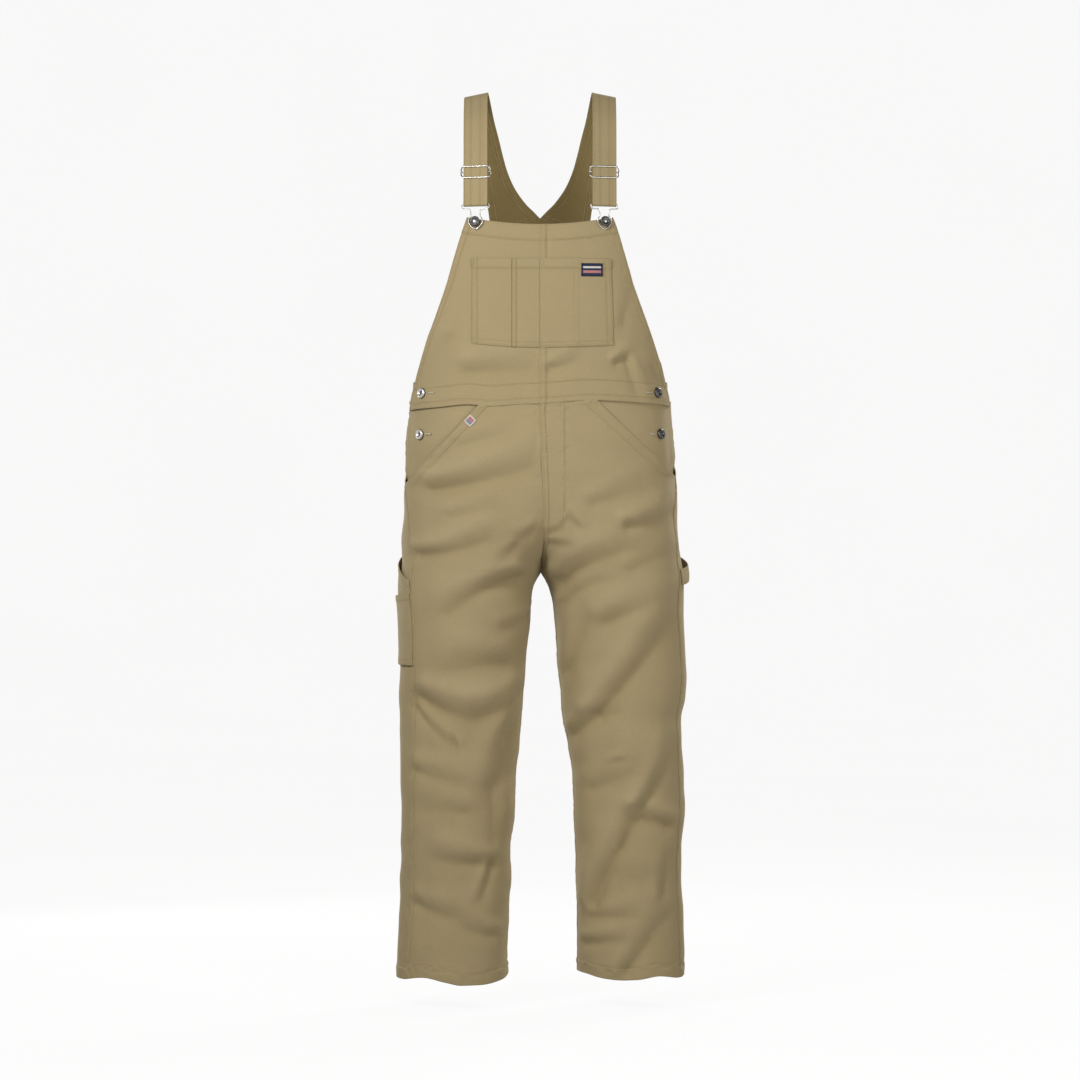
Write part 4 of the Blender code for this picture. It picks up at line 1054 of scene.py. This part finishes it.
def bib_pockets():
    left, middle, pen = [
        patch_cloth(name, side, "front", corners, 2.0, sewing=SEW_BIB)
        for name, side, corners in (
            ("bib_pocket_left", LEFT, ((0, -271), (113, -271), (118, -410), (0, -414))),
            ("bib_pocket_right", RIGHT, ((0, -271), (PEN_X, -271), (PEN_X, -413), (0, -414))),
            ("bib_pocket_pen", RIGHT, ((PEN_X, -271), (109, -270), (109, -407), (PEN_X, -413))),
        )
    ]
    for cloth in (left, middle, pen):
        cloth.turned(["bottom"], 8.4)
        cloth.edge("top", (15.0,), [(16.0, 0.6)], soft=(0.7, 1.0))
    for cloth in (left, pen):
        cloth.turned(["right"], 8.4)
        cloth.groove(cloth.right, 10.6)
    # The strip with two rows of stitches between the left pocket and its flat outer part.
    left.edge("left", (55.0, 61.5), soft=None)
    left.rise += 0.45 * np.exp(-((left.left - 58.2) / 3.6) ** 4)
    left.row("left", 1.4)
    pen.soften(pen.left, 0.5, 1.0)
    middle.edge("right", (1.6, 6.2), [(7.0, 0.7)], soft=None)
    finish_cloth(left)
    finish_cloth(middle)
    finish_cloth(pen)


# ---------------- front legs and pocket openings
def slant_x(side, z):
    x1, z1, x2, z2 = SLANT[side]
    return x1 + (x2 - x1) * (z - z1) / (z2 - z1)


def front_outer(side, z):
    seam = seam_angle(side, z) - SEAM / 200
    slant = angle_at(side, z, slant_x(side, z))
    return np.where(z > SLANT[side][3], np.minimum(seam, slant), seam)


def front_leg(side, label):
    top = WAIST_Z - SEAM / 2
    height = top - HEM_Z
    close = ((0, 60, 2.2), (3, 6, 0.9), (100, 40, 3.0), (height - HEM, 3, 0.8), (height, 3, 0.9))
    z = top - ladder(height, 4.9, close)
    a = centre_angle(side, z, OVER if side > 0 else 0.0)
    layout = ladder(FRONT_WIDE, 4.7, ((0, 12, 0.85), (38, 2.5, 0.9), (FRONT_WIDE, 22, 1.1)))
    t = spaced(side, z, a, front_outer(side, z), FRONT_WIDE, layout, 46.0, 26.0)
    zz = z[:, None] + hem_drop(side, z[:, None], t)
    x = np.abs(section(side, zz, t)[0])
    zz = zz + waist_wander(side, x, zz, 70, 90)
    cloth = cloth_on_body("front_leg_" + label, side, zz, t, SEW_FRONT)
    if side > 0:
        cloth.edge("left", (3.0, 9.4), [(9.0, 0.9)], True, soft=None)
    cloth.edge("left", soft=(0.5,), pucker=(6.0, 8.0, 0.6))
    cloth.edge("right", soft=(0.5,))
    x1, z1, x2, z2 = SLANT[side]
    gap = np.abs((x - x1) * (z2 - z1) - (zz - z1) * (x2 - x1)) / math.hypot(x2 - x1, z2 - z1)
    on_slant = smooth((zz - z2 + 6) / 8.0)
    cloth.slant = np.where(zz > z2 - 12, gap, FAR)
    cloth.strip(gap, 13.0, 1.0, 1.4, on_slant)
    cloth.lift += 0.7 * hill(gap / 9.0) * on_slant
    # Painted shade in the slant's stitch grooves, lighter than in other grooves.
    for at in (2.2, 9.6):
        cloth.groove(gap, at, share=on_slant, dark=0.07)
        cloth.row("slant", at, lambda line: line[:, 2] > z2 + 3)
    # Painted shade along the step where the slant's raised strip ends.
    cloth.tone *= 1 - 0.10 * hill((gap - 13.6) / 1.2) * on_slant
    cloth.pucker(gap, 6, 8.0, share=on_slant)
    if side > 0:
        stitched = path_gap(x, zz, FLY)
        cloth.groove(stitched, 0.0, 0.35)
        cloth.pucker(stitched, 0.0, 9.0, 0.8)
        inside = (x < FLY_WIDE) & (zz > -700)
        cloth.rise += 0.35 * inside * smooth(stitched / 2.0) * smooth((FLY_WIDE - x) / 2.0)
        sew_path(SEW_FRONT, side, FLY)
        bartack(SEW_FRONT, side, FLY_WIDE, -676, 0, -9)
        bartack(SEW_FRONT, side, 14, -710, 7, 3.5)
        for z_bar in (-553, -584):
            bartack(SEW_FRONT, side, 4, z_bar, 9, 0, 0.8)
    bartack(SEW_FRONT, side, x1 + 2, -506, 7, -7, 1.2)
    cloth.hem()
    cloth.pucker(cloth.top, 4.0, 12.0, 0.8)
    finish_cloth(cloth)


def side_lap(side, z):
    """1 where the front laps over the back beside the side opening, 0 from the slant's end down."""
    return smooth((z - SLANT[side][3] - 5) / 24.0)


def hip_facing(side, label):
    top = WAIST_Z + 5.2
    down = ladder(top - SLANT[side][3] + 4, 2.4)
    z = top - down
    a = angle_at(side, z, slant_x(side, np.minimum(z, WAIST_Z)) - 15)
    b = seam_angle(side, z) - 0.004 + 0.05 * side_lap(side, z)
    t = a[:, None] + (b - a)[:, None] * np.linspace(0, 1, 72)
    zz = z[:, None] + 0 * t
    cloth = cloth_on_body("hip_facing_" + label, side, zz, t, SEW_FRONT)
    deep = FACING + 1.6 * (down / down[-1])[:, None] ** 2
    up = (1 - smooth((cloth.right - 12) / 26.0)) * side_lap(side, zz)
    cloth.lift += up * (deep + 0.6) - deep
    cloth.edge("right", (3.2, 10.0), [(12.0, 0.7)], soft=(0.7, 1.1), pucker=(8.0, 10.0, 0.9),
               keep=lambda line: line[:, 2] < -512)
    finish_cloth(cloth)


# ---------------- back and yoke
def back_sheet(side, label):
    height = BACK_TOP - HEM_Z
    close = ((0, 20, 2.0), (135, 20, 1.6), (180, 28, 0.9), (height - HEM, 3, 0.8), (height, 3, 0.9))
    z = BACK_TOP - ladder(height, 5.0, close)
    z_end = SLANT[side][3]
    a = np.where(z > ARM_END, angle_at(side, z, ARM_X(z), "back"), seam_angle(side, z) + SEAM / 200)
    a = a - OVER / 105.0 * smooth((z_end + 16 - z) / 8.0)
    b = 2 * math.pi - centre_angle(side, z, OVER if side > 0 else 0.0)
    b = np.where(z > YOKE_END, angle_at(side, z, YOKE_X(z) + 2 * SEAM, "back"), b)
    first = z > BACK_TOP - 0.01
    a = np.where(first, angle_at(side, z, 80.2, "back"), a)
    b = np.where(first, angle_at(side, z, 78.9, "back"), b)
    layout = ladder(BACK_WIDE, 4.9, ((0, 14, 1.0), (BACK_WIDE, 10, 0.9)))
    t = spaced(side, z, a, b, BACK_WIDE, layout, 20.0, 14.0)
    # Beside the side opening the back goes on behind the front, in 12 columns of its own.
    lap = side_lap(side, z) * (z < ARM_END)
    tuck = 0.004 + lap * (0.09 + 0.16 * smooth((z + 508) / 8.0))
    t = np.concatenate([a[:, None] - tuck[:, None] * np.linspace(1, 1 / 12, 12), t], axis=1)
    zz = z[:, None] + hem_drop(side, z[:, None], t)
    cloth = cloth_on_body("back_" + label, side, zz, t, SEW_BACK)
    near = cloth.p[z > -500]
    arm = np.full(cloth.p.shape[:2], FAR)
    arm[:len(near)] = distances(near, cloth.p[z > ARM_END - 1.5][:-2, 0], (0, 0.25, 0.5, 0.75))
    cloth.arm = np.where(arm > 40, FAR, arm)
    cloth.edge("arm", (1.8, 7.6), [(9.0, 0.8)], soft=(0.6,), pucker=(6.0, 7.0),
               keep=lambda line: line[:, 2] > ARM_END)
    side_on = smooth((z_end + 16 - zz) / 8.0)
    past = (t - a[:, None]) * 105.0
    cloth.lift -= 2.5 * side_lap(side, zz) * (zz < ARM_END - 0.2) * (1 - smooth((past - 3) / 9.0))
    cloth.strip(cloth.left, 10.0, 1.0, 1.2, side_on)
    cloth.over(cloth.left, side_on)
    for at in (3.2, 9.2):
        cloth.groove(cloth.left + 50 * (1 - side_on), at)
        cloth.row("left", at, lambda line: line[:, 2] < z_end - 6)
    cloth.edge("left", soft=(0.5,), pucker=(7.0, 9.0, 0.8))
    if side > 0:
        centre_on = smooth((YOKE_END - 3 - zz) / 6.0)
        cloth.strip(cloth.right, 8.5, 0.9, 1.2, centre_on)
        cloth.over(cloth.right, centre_on)
        cloth.edge("right", (3.0, 8.0), soft=None, keep=lambda line: line[:, 2] < YOKE_END - 3)
    cloth.pucker(cloth.right, 6.0, 8.0, 0.6)
    cloth.hem()
    finish_cloth(cloth)


def yoke_sheet():
    half = 80.3
    v = np.linspace(0, 1, 70)[:, None]
    x = ladder(2 * half, 2.6, ((half, 6, 1.0), (0, 8, 0.9), (2 * half, 8, 0.9))) - half + 0 * v
    top = -187.9 - 0.41 * np.abs(x)
    z = top + (YOKE_DROP(np.abs(x)) - OVER - top) * v
    cloth = Cloth("back_yoke", both_sides(x, z, "back"), both_sides(x, z, "back", outward), SEW_BACK)
    cloth.low = distances(cloth.p, cloth.p[-1], np.linspace(0, 0.9, 8))
    cloth.edge("low", (3.4, 9.0), [(9.0, 0.7)], True, pucker=(6.0, 7.0), keep=lambda line: line[:, 0] > 0.5)
    for at in (3.4, 9.0):
        cloth.row("low", at, lambda line: line[:, 0] < -0.5)
    cloth.soften(np.minimum(cloth.left, cloth.right))
    finish_cloth(cloth)


# ---------------- pockets and loops on back and legs
def back_pocket(side, label):
    corners = BACK_POCKET[side]
    cloth = patch_cloth("back_pocket_" + label, side, "back", corners, 2.2, 3.4, 14.0, 1.0, SEW_TRIM)
    cloth.turned(("left", "right", "bottom"), 8.2)
    cloth.edge("top", (1.8, 11.0), [(13.0, 0.8)], soft=(0.7, 1.1))
    middle = hill((cloth.left / cloth.left[:, -1:] - 0.5) / 0.34)
    cloth.lift += 2.2 * middle * hill(cloth.top / 26.0)
    finish_cloth(cloth)


def piping(side, label):
    """The strip in the seat pocket's lower edge, from 1 mm above it to 5 mm below."""
    _, _, (x_out, z_out), (x_in, z_in) = BACK_POCKET[side]
    x1, x2 = PIPING[side]
    z1, z2 = [z_in + (z_out - z_in) * (x - x_in) / (x_out - x_in) for x in (x1, x2)]
    corners = ((x1, z1 + 1), (x2, z2 + 1), (x2, z2 - 5), (x1, z1 - 5))
    cloth = patch_cloth("reflective_trim_" + label, side, "back", corners, 0.9, 3.0, 1.0, 0.8)
    cloth.rise += 0.9 * np.sqrt(np.clip(np.minimum(cloth.top, cloth.bottom) / 3.0, 0, 1)) - 0.3
    finish_cloth(cloth, look=REFLEX)


def tool_sheet(name, tops, inset, low, gape_most):
    """One layer of the tool pocket; tops are its mouth's heights at the front, the side and the back."""
    top_front, top_side, top_back = tops
    high = top_front - TOOL_BOTTOM
    v = (ladder(high, 2.6, ((0, 8, 0.9), (high, 9, 0.9))) / high)[:, None]
    u = (ladder(100, 2.2, ((0, 9, 0.9), (100, 9, 0.9))) / 100)[None, :]
    to_side = (top_side - top_front) * np.minimum(1, 2 * u)
    top = top_front + to_side + (top_back - top_side) * np.maximum(0, 2 * u - 1)
    z = top + (TOOL_BOTTOM - top) * v
    a = seam_angle(RIGHT, z) + 0.004 + inset / 110
    t = a + (angle_at(RIGHT, z, TOOL_EDGE(z) + inset, "back") - a) * u
    open_share = np.interp(v, [0, 0.125, 0.25], [1.0, 0.3, 0.0])
    gape = gape_most * open_share * np.sin(math.pi * (0.12 + 0.6 * u))
    p = skin(RIGHT, z, t) + outward(RIGHT, z, t) * (low + CLOTH + gape)[..., None]
    cloth = Cloth(name, p, roughly_out(RIGHT, t), SEW_TRIM)
    # The front edge lies in the side seam and shows no stitches of its own.
    cloth.turned(["left"], None, 0.2)
    cloth.rows.clear()
    cloth.turned(("right", "bottom"), 8.0, 0.2)
    cloth.edge("top", (1.8, 8.6), [(10.0, 0.6)], soft=(0.6,))
    return cloth


def tool_pockets():
    big = tool_sheet("tool_pocket", (-786, -750, -724), 0.0, 0.9, 4.5)
    small = tool_sheet("tool_pocket_small", (-806, -811, -815), 1.5, 0.9 + CLOTH + 0.7, 1.8)
    small.row("top", 52.0)
    finish_cloth(big)
    finish_cloth(small)


def hammer_loop():
    track = table_tracks(LOOP, LOOP_COLUMNS)
    at = np.linspace(0, 1, 64)[:, None]
    w = np.linspace(0, 1, 16)
    t = np.radians(track["deg_a"](at) + (track["deg_b"](at) - track["deg_a"](at)) * w)
    z = track["z_a"](at) + (track["z_b"](at) - track["z_a"](at)) * w
    n = outward(LEFT, z, t)
    cloth = Cloth("hammer_loop", skin(LEFT, z, t) + n * (track["off"](at) + 1.0)[..., None], n, SEW_TRIM)
    cloth.lift -= 0.2
    for edge in ("left", "right"):
        cloth.edge(edge, (3.0,), soft=(0.6, 1.2))
        cloth.row(edge, 3.01)
    finish_cloth(cloth)


def on_both(*makers):
    for make in makers:
        for side, label in SIDES.items():
            make(side, label)


on_both(bib_sheet)
facing_sheet()
bib_pockets()
on_both(front_leg, hip_facing, back_sheet)
yoke_sheet()
on_both(back_pocket, piping)
tool_pockets()
hammer_loop()


# ---------------- straps
STRAP_EDGES = (STRAP_MIDDLE - STRAP_WIDE / 2, STRAP_MIDDLE + STRAP_WIDE / 2)
BIB_UNDER = [spot(LEFT, "front", x, BUTTON_Z)[0][1] for x in STRAP_EDGES]


def bib_plane(x):
    """The bib's face under the strap's end, taken straight across the strap and beyond."""
    y1, y2 = BIB_UNDER
    return y1 + (y2 - y1) * (x - STRAP_EDGES[0]) / STRAP_WIDE


def strap_front_y(x, z):
    """Middle of the strap's front layer between the slider and the hook."""
    return bib_plane(x) - 7.9 + 8.0 * (z - STRAP_END_Z) / 55.0


def catmull(points, count, closed=False):
    """Evenly spaced points on a smooth curve through the given ones."""
    p = np.array(points, float)
    if closed:
        p = np.concatenate([p[-1:], p, p[:2]])
    else:
        p = np.concatenate([2 * p[:1] - p[1:2], p, 2 * p[-1:] - p[-2:-1]])
    out = []
    for i in range(1, len(p) - 2):
        t = np.linspace(0, 1, 12, endpoint=False).reshape((-1,) + (1,) * (p.ndim - 1))
        a = 2 * p[i]
        b = (p[i + 1] - p[i - 1]) * t
        c = (2 * p[i - 1] - 5 * p[i] + 4 * p[i + 1] - p[i + 2]) * t ** 2
        d = (-p[i - 1] + 3 * p[i] - 3 * p[i + 1] + p[i + 2]) * t ** 3
        out.append(0.5 * (a + b + c + d))
    dense = np.concatenate(out + [out[0][:1] if closed else p[-2:-1]])
    flat = dense.reshape(len(dense), -1)
    s = lengths(flat)
    even = along_line(s, flat, np.linspace(0, s[-1], count, endpoint=not closed))
    return even.reshape((count,) + dense.shape[1:])


def strap_rows():
    """Points on the strap's inner and outer edge, from the yoke over the shoulder round the hook's bar."""
    rows = []
    for x_in, y_in, z_in, x_out, y_out, z_out in STRAP:
        if y_in is None:
            y_in = spot(LEFT, "back", x_in, z_in)[0][1] + 0.2
            y_out = spot(LEFT, "back", x_out, z_out)[0][1] + 0.2
        rows.append(((x_in, y_in, z_in), (x_out, y_out, z_out)))
    steps = [(z, 0.0, z) for z in (-104, -118, -133, -150, -167, -180)]
    for turn in np.radians((0, 45, 90, 135, 180)):
        behind = STRAP_LOOP * (1 - math.cos(turn))
        steps.append((STRAP_END_Z, behind, STRAP_END_Z - STRAP_LOOP * math.sin(turn)))
    steps += [(z, 2 * STRAP_LOOP, z) for z in (-178, -160, -144, -130)]
    for level, behind, z in steps:
        rows.append(tuple((x, strap_front_y(x, level) + behind, z) for x in STRAP_EDGES))
    return rows


def strap_sheet(side, label):
    rows = np.array(strap_rows())
    start = rows[0] + (rows[0] - rows[1]) * 0.12 + (0, 0.9, 0)
    ends = catmull(np.concatenate([start[None], rows]), 330)
    shares = (0, 0.03, 0.07, 0.15, 0.3, 0.5, 0.7, 0.85, 0.93, 0.97, 1)
    w = np.interp(np.linspace(0, 1, 21), np.linspace(0, 1, 11), shares)
    p = (ends[:, :1] + (ends[:, 1:] - ends[:, :1]) * w[None, :, None]) * (side, 1, 1)
    n = unit(np.cross(np.gradient(p, axis=1), np.gradient(p, axis=0))) * side
    cloth = Cloth("strap_" + label, p, n, SEW_STRAPS)
    cloth.rise += STRAP_HALF
    first, second = ("left", "right") if side > 0 else ("right", "left")
    for edge, seams in ((first, (1.8, 11.6)), (second, (7.0, 12.0))):
        cloth.edge(edge, seams, soft=(0.7, 1.2), deep=0.4, wide=1.1)
        for at in seams:
            cloth.pucker(getattr(cloth, edge), at, 5.0, 0.35)
    cloth.edge("top", (2.6, 9.0), soft=None)
    finish_cloth(cloth, face_out=False)


# ---------------- wire hardware and buttons
def add_solid(name, verts, faces, look, slot, nodes=()):
    mesh = bpy.data.meshes.new(name)
    mesh.from_pydata((np.asarray(verts) * MM).tolist(), [], faces)
    mesh.update()
    mesh.shade_smooth()
    add_piece(name, mesh, look, nodes)


def ring_faces(rings, sides, closed=False):
    """Quads between rings of points that follow each other."""
    faces = []
    for i in range(rings if closed else rings - 1):
        j = (i + 1) % rings
        for k in range(sides):
            m = (k + 1) % sides
            faces.append((i * sides + k, i * sides + m, j * sides + m, j * sides + k))
    return faces


def circle(a, b, sides):
    turn = 2 * math.pi * np.arange(sides)[:, None] / sides
    return a * np.cos(turn) + b * np.sin(turn)


def tube(path, radius, closed, sides=14):
    """Round wire along a path."""
    count = len(path)
    after = np.roll(path, -1, axis=0)
    before = np.roll(path, 1, axis=0)
    if not closed:
        after[-1] = path[-1]
        before[0] = path[0]
    d = unit(after - before)
    a = unit(np.cross(d, np.array([0.05, 1.0, 0.02])))
    b = np.cross(d, a)
    ring = path[:, None] + radius * circle(a[:, None], b[:, None], sides)
    faces = ring_faces(count, sides, closed)
    if not closed:
        faces.append(tuple(reversed(range(sides))))
        faces.append(tuple((count - 1) * sides + k for k in range(sides)))
    return ring.reshape(-1, 3), faces


def lathe(centre, axis, outline, sides=40):
    """A round body from radii and heights over a centre, closed by a point at both ends."""
    a = unit(np.cross(axis, np.array([0.31, 0.17, 0.94])))
    b = np.cross(axis, a)
    verts = [centre + axis * height + radius * circle(a, b, sides) for radius, height in outline[1:-1]]
    verts += [(centre + axis * height)[None] for _, height in (outline[0], outline[-1])]
    rings = len(outline) - 2
    low = rings * sides
    faces = ring_faces(rings, sides)
    for k in range(sides):
        m = (k + 1) % sides
        faces.append((low, m, k))
        faces.append((low - sides + k, low - sides + m, low + 1))
    return np.concatenate(verts), faces


def slider_point(side, dx, dz, dy):
    x = STRAP_MIDDLE + dx
    z = SLIDER_Z + dz
    return (side * x, strap_front_y(x, z) - 2.6 + dy, z)


def hook_point(side, dx, z, dy):
    x = STRAP_MIDDLE + dx
    return (side * x, bib_plane(x) - 5.3 + dy, z)


def hardware(side, label):
    ring = catmull([slider_point(side, *p) for p in SLIDER_RING], 150, True)
    bar = np.array([slider_point(side, dx, 0, 5.2) for dx in np.linspace(-23.0, 23.0, 12)])
    verts, faces = tube(ring, WIRE, True)
    bar_verts, bar_faces = tube(bar, WIRE * 0.93, False)
    faces += [tuple(i + len(verts) for i in face) for face in bar_faces]
    verts = np.concatenate([verts, bar_verts])
    add_solid("slider_wire_" + label, verts, faces, NICKEL, "nickel_wire", ["slider_" + label])
    half = [hook_point(side, *p) for p in HOOK_HALF]
    mirrored = [hook_point(side, -dx, z, dy) for dx, z, dy in reversed(HOOK_HALF[:-1])]
    path = catmull([hook_point(side, 0, STRAP_END_Z, 0.0)] + half + mirrored, 190, True)
    verts, faces = tube(path, WIRE * 0.85, True)
    add_solid("hook_wire_" + label, verts, faces, NICKEL, "nickel_wire", ["hook_" + label])
    silver = (SILVER, "silver_cap")
    gun = (GUNMETAL, "gunmetal")
    # Painted light: the front side buttons are a lit silver copy on the wearer's right, towards the key
    # light, and a shaded gunmetal copy on the wearer's left.
    painted_light_side_metal = gun if side > 0 else silver
    centre, n = spot(side, "front", STRAP_MIDDLE, BUTTON_Z)
    name = "bib_button_" + label
    add_solid(name + "_rim", *lathe(centre, n, BIB_BUTTON), *gun, [name])
    add_solid(name + "_cap", *lathe(centre, n, BIB_CAP), *silver)
    centre, n = spot(side, "front", STRAP_MIDDLE, BUTTON_Z - 2, -2 * CLOTH - 0.6)
    name = "bib_rivet_" + label
    add_solid(name + "_head", *lathe(centre, -n, RIVET), *silver, [name])
    for start, face, x, z, lift, metal in (
        ("side_button_upper_", "front", 188, -484, 0.3, painted_light_side_metal),
        ("side_button_lower_", "front", 193, -550, -FACING, painted_light_side_metal),
        ("side_button_back_", "back", 202, -486, 0.0, gun),
    ):
        centre, n = spot(side, face, x, z, lift)
        name = start + label
        add_solid(name + "_rim", *lathe(centre, n, SIDE_BUTTON), *metal, [name])
        add_solid(name + "_core", *lathe(centre, n, SIDE_CORE, 24), *gun)
    buttonhole(side, 180, -484, 11, 0.6)
    buttonhole(side, 185, -550, 10, -FACING + 1.2)
    buttonhole(side, 194, -486, 10, 0.4, "back")


def bib_details():
    """Bartacks of the chest pocket, and its stitches seen from inside the bib."""
    for side, z, places in ((LEFT, -273, (111, 64, 4)), (RIGHT, -272, (106, 46))):
        for x in places:
            bartack(SEW_BIB, side, x, z, 0, -9, 3.0)
    sew_path(SEW_BIB, RIGHT, [(70, -238), (6, -245), (5, -268)], 0.1)
    for inset in (0.0, 6.4):
        for side, path in (
            (LEFT, [(111 - inset, -272), (116 - inset, -408 + inset), (2, -412 + inset)]),
            (RIGHT, [(107 - inset, -272), (107 - inset, -405 + inset), (2, -412 + inset)]),
            (LEFT, [(55 + inset, -272), (57 + inset, -408)]),
            (RIGHT, [(43 - inset, -272), (43 - inset, -408)]),
        ):
            sew_path(SEW_BIB, side, path, inside=True)


on_both(strap_sheet, hardware)
bib_details()


# ---------------- label and tag
def round_all(cloth, drop, reach):
    """Rounds all four edges and gives back the distance from the nearest."""
    gap = np.minimum(np.minimum(cloth.left, cloth.right), np.minimum(cloth.top, cloth.bottom))
    cloth.soften(gap, drop, reach)
    return gap


def label_piece():
    corners = ((65.5, -279), (99.5, -279), (99.5, -300), (65.5, -300))
    cloth = patch_cloth("bib_label", LEFT, "front", corners, 3.6, 1.2, 2.0, 0.6)
    cloth.groove(round_all(cloth, 0.5, 0.8), 1.4, 0.15, 0.5)
    finish_cloth(cloth, look=NAVY)
    edging = Sewing("bib_label_edging", WHITE_WEAVE)
    for gap, down in ((cloth.left, True), (cloth.right, True), (cloth.top, False), (cloth.bottom, False)):
        edging.row(*cloth.trace(gap, 1.4, down), 0.9, 0.2, 0.8)
    edging.build()
    for name, top, low, look in (("stripe", -290.5, -295, ROSE_WEAVE), ("bar", -284, -287.2, WHITE_WEAVE)):
        corners = ((68.5, top), (96.5, top), (96.5, low), (68.5, low))
        woven = patch_cloth("bib_label_" + name, LEFT, "front", corners, 4.0, 1.2, 1.0, 0.8)
        round_all(woven, 0.15, 0.6)
        finish_cloth(woven, "laid", look)


def diamond(name, reach, v_from, v_to, lift):
    """Part of the diamond tag: shares of its half, the first the same both ways."""
    half = 10.0
    u = np.linspace(-reach, reach, 33)[None, :]
    v = np.linspace(v_from, v_to, 33)[:, None]
    p, n = on_face(RIGHT, 111.0 + (u - v) * half / 2, -530.0 + (u + v) * half / 2, lift)
    cloth = Cloth(name, p, n)
    round_all(cloth, 0.25, 0.7)
    return cloth


def tag_piece():
    tag = diamond("pocket_tag", 1, -1, 1, 1.4)
    finish_cloth(tag, "hung", WHITE_WEAVE)
    for name, v_from, v_to, look in (("rose", -0.12, 0.72, ROSE_WEAVE), ("slate", -0.72, -0.14, SLATE_WEAVE)):
        field = diamond("pocket_tag_" + name, 0.72, v_from, v_to, 1.75)
        finish_cloth(field, "laid", look)


label_piece()
tag_piece()
for sewing in (SEW_BIB, SEW_FRONT, SEW_BACK, SEW_STRAPS, SEW_TRIM, SEW_HEM, SLITS):
    sewing.build()


# ---------------- studio
def studio():
    """A round floor that curves up into a wall all round."""
    sides = 96
    outline = [(0.0, 0.0), (3.0, 0.0), (6.5, 0.0), (8.0, 0.1), (9.0, 0.6), (9.6, 1.6), (9.8, 3.2), (9.8, 6.0)]
    x_way = np.array([1.0, 0.0, 0.0])
    y_way = np.array([0.0, 1.0, 0.0])
    rings = [radius * circle(x_way, y_way, sides) + (0, 0, FLOOR_Z + height) for radius, height in outline]
    mesh = bpy.data.meshes.new("studio_floor")
    mesh.from_pydata(np.concatenate(rings).tolist(), [], ring_faces(len(outline), sides))
    mesh.update()
    mesh.shade_smooth()
    dark = (0.05, 0.05, 0.05)
    m, tree, shader, cloud = grained("pale_floor", 0.9, 0.0, 0.0, 1.5, 2.0, dark, (0.055, 0.055, 0.055))
    glow = mix_colour(tree, cloud, (0.930, 0.930, 0.930), (0.940, 0.940, 0.940))
    tree.links.new(glow, shader.inputs["Emission Color"])
    shader.inputs["Emission Strength"].default_value = STAGE_GLOW
    mesh.materials.append(m)
    floor = bpy.data.objects.new("studio_floor", mesh)
    bpy.context.scene.collection.objects.link(floor)
    floor.visible_diffuse = False


def area_light(name, place, size, power_w):
    """A square light that points at the garment's middle."""
    data = bpy.data.lights.new(name, "AREA")
    data.shape = "RECTANGLE"
    data.size = size
    data.size_y = size
    data.energy = power_w
    ob = bpy.data.objects.new(name, data)
    ob.location = place
    ob.rotation_mode = "QUATERNION"
    ob.rotation_quaternion = (Vector((0.0, 0.0, MIDDLE_Z)) - Vector(place)).to_track_quat("-Z", "Y")
    ob.visible_camera = False
    bpy.context.scene.collection.objects.link(ob)


studio()
for name, turn in (("", 1), ("_back", -1)):
    area_light("key" + name, (-1.3 * turn, -1.6 * turn, 0.5), 0.65, 37)
    area_light("fill" + name, (0.9 * turn, -1.6 * turn, -0.6), 0.9, 15)
world = bpy.data.worlds.new("studio")
bpy.context.scene.world = world
world.use_nodes = True
sky = world.node_tree.nodes["Background"]
sky.inputs["Color"].default_value = (1.0, 0.95, 0.80, 1.0)
sky.inputs["Strength"].default_value = 0.29
bpy.context.scene.view_settings.view_transform = "Standard"
bpy.context.scene.view_settings.look = "None"

camera_data = bpy.data.cameras.new("camera")
camera_data.lens = 120
camera_data.sensor_width = 36
camera = bpy.data.objects.new("camera", camera_data)
camera.location = (0.0, -5.85, MIDDLE_Z)
camera.rotation_euler = (math.pi / 2, 0, 0)
bpy.context.scene.collection.objects.link(camera)
bpy.context.scene.camera = camera
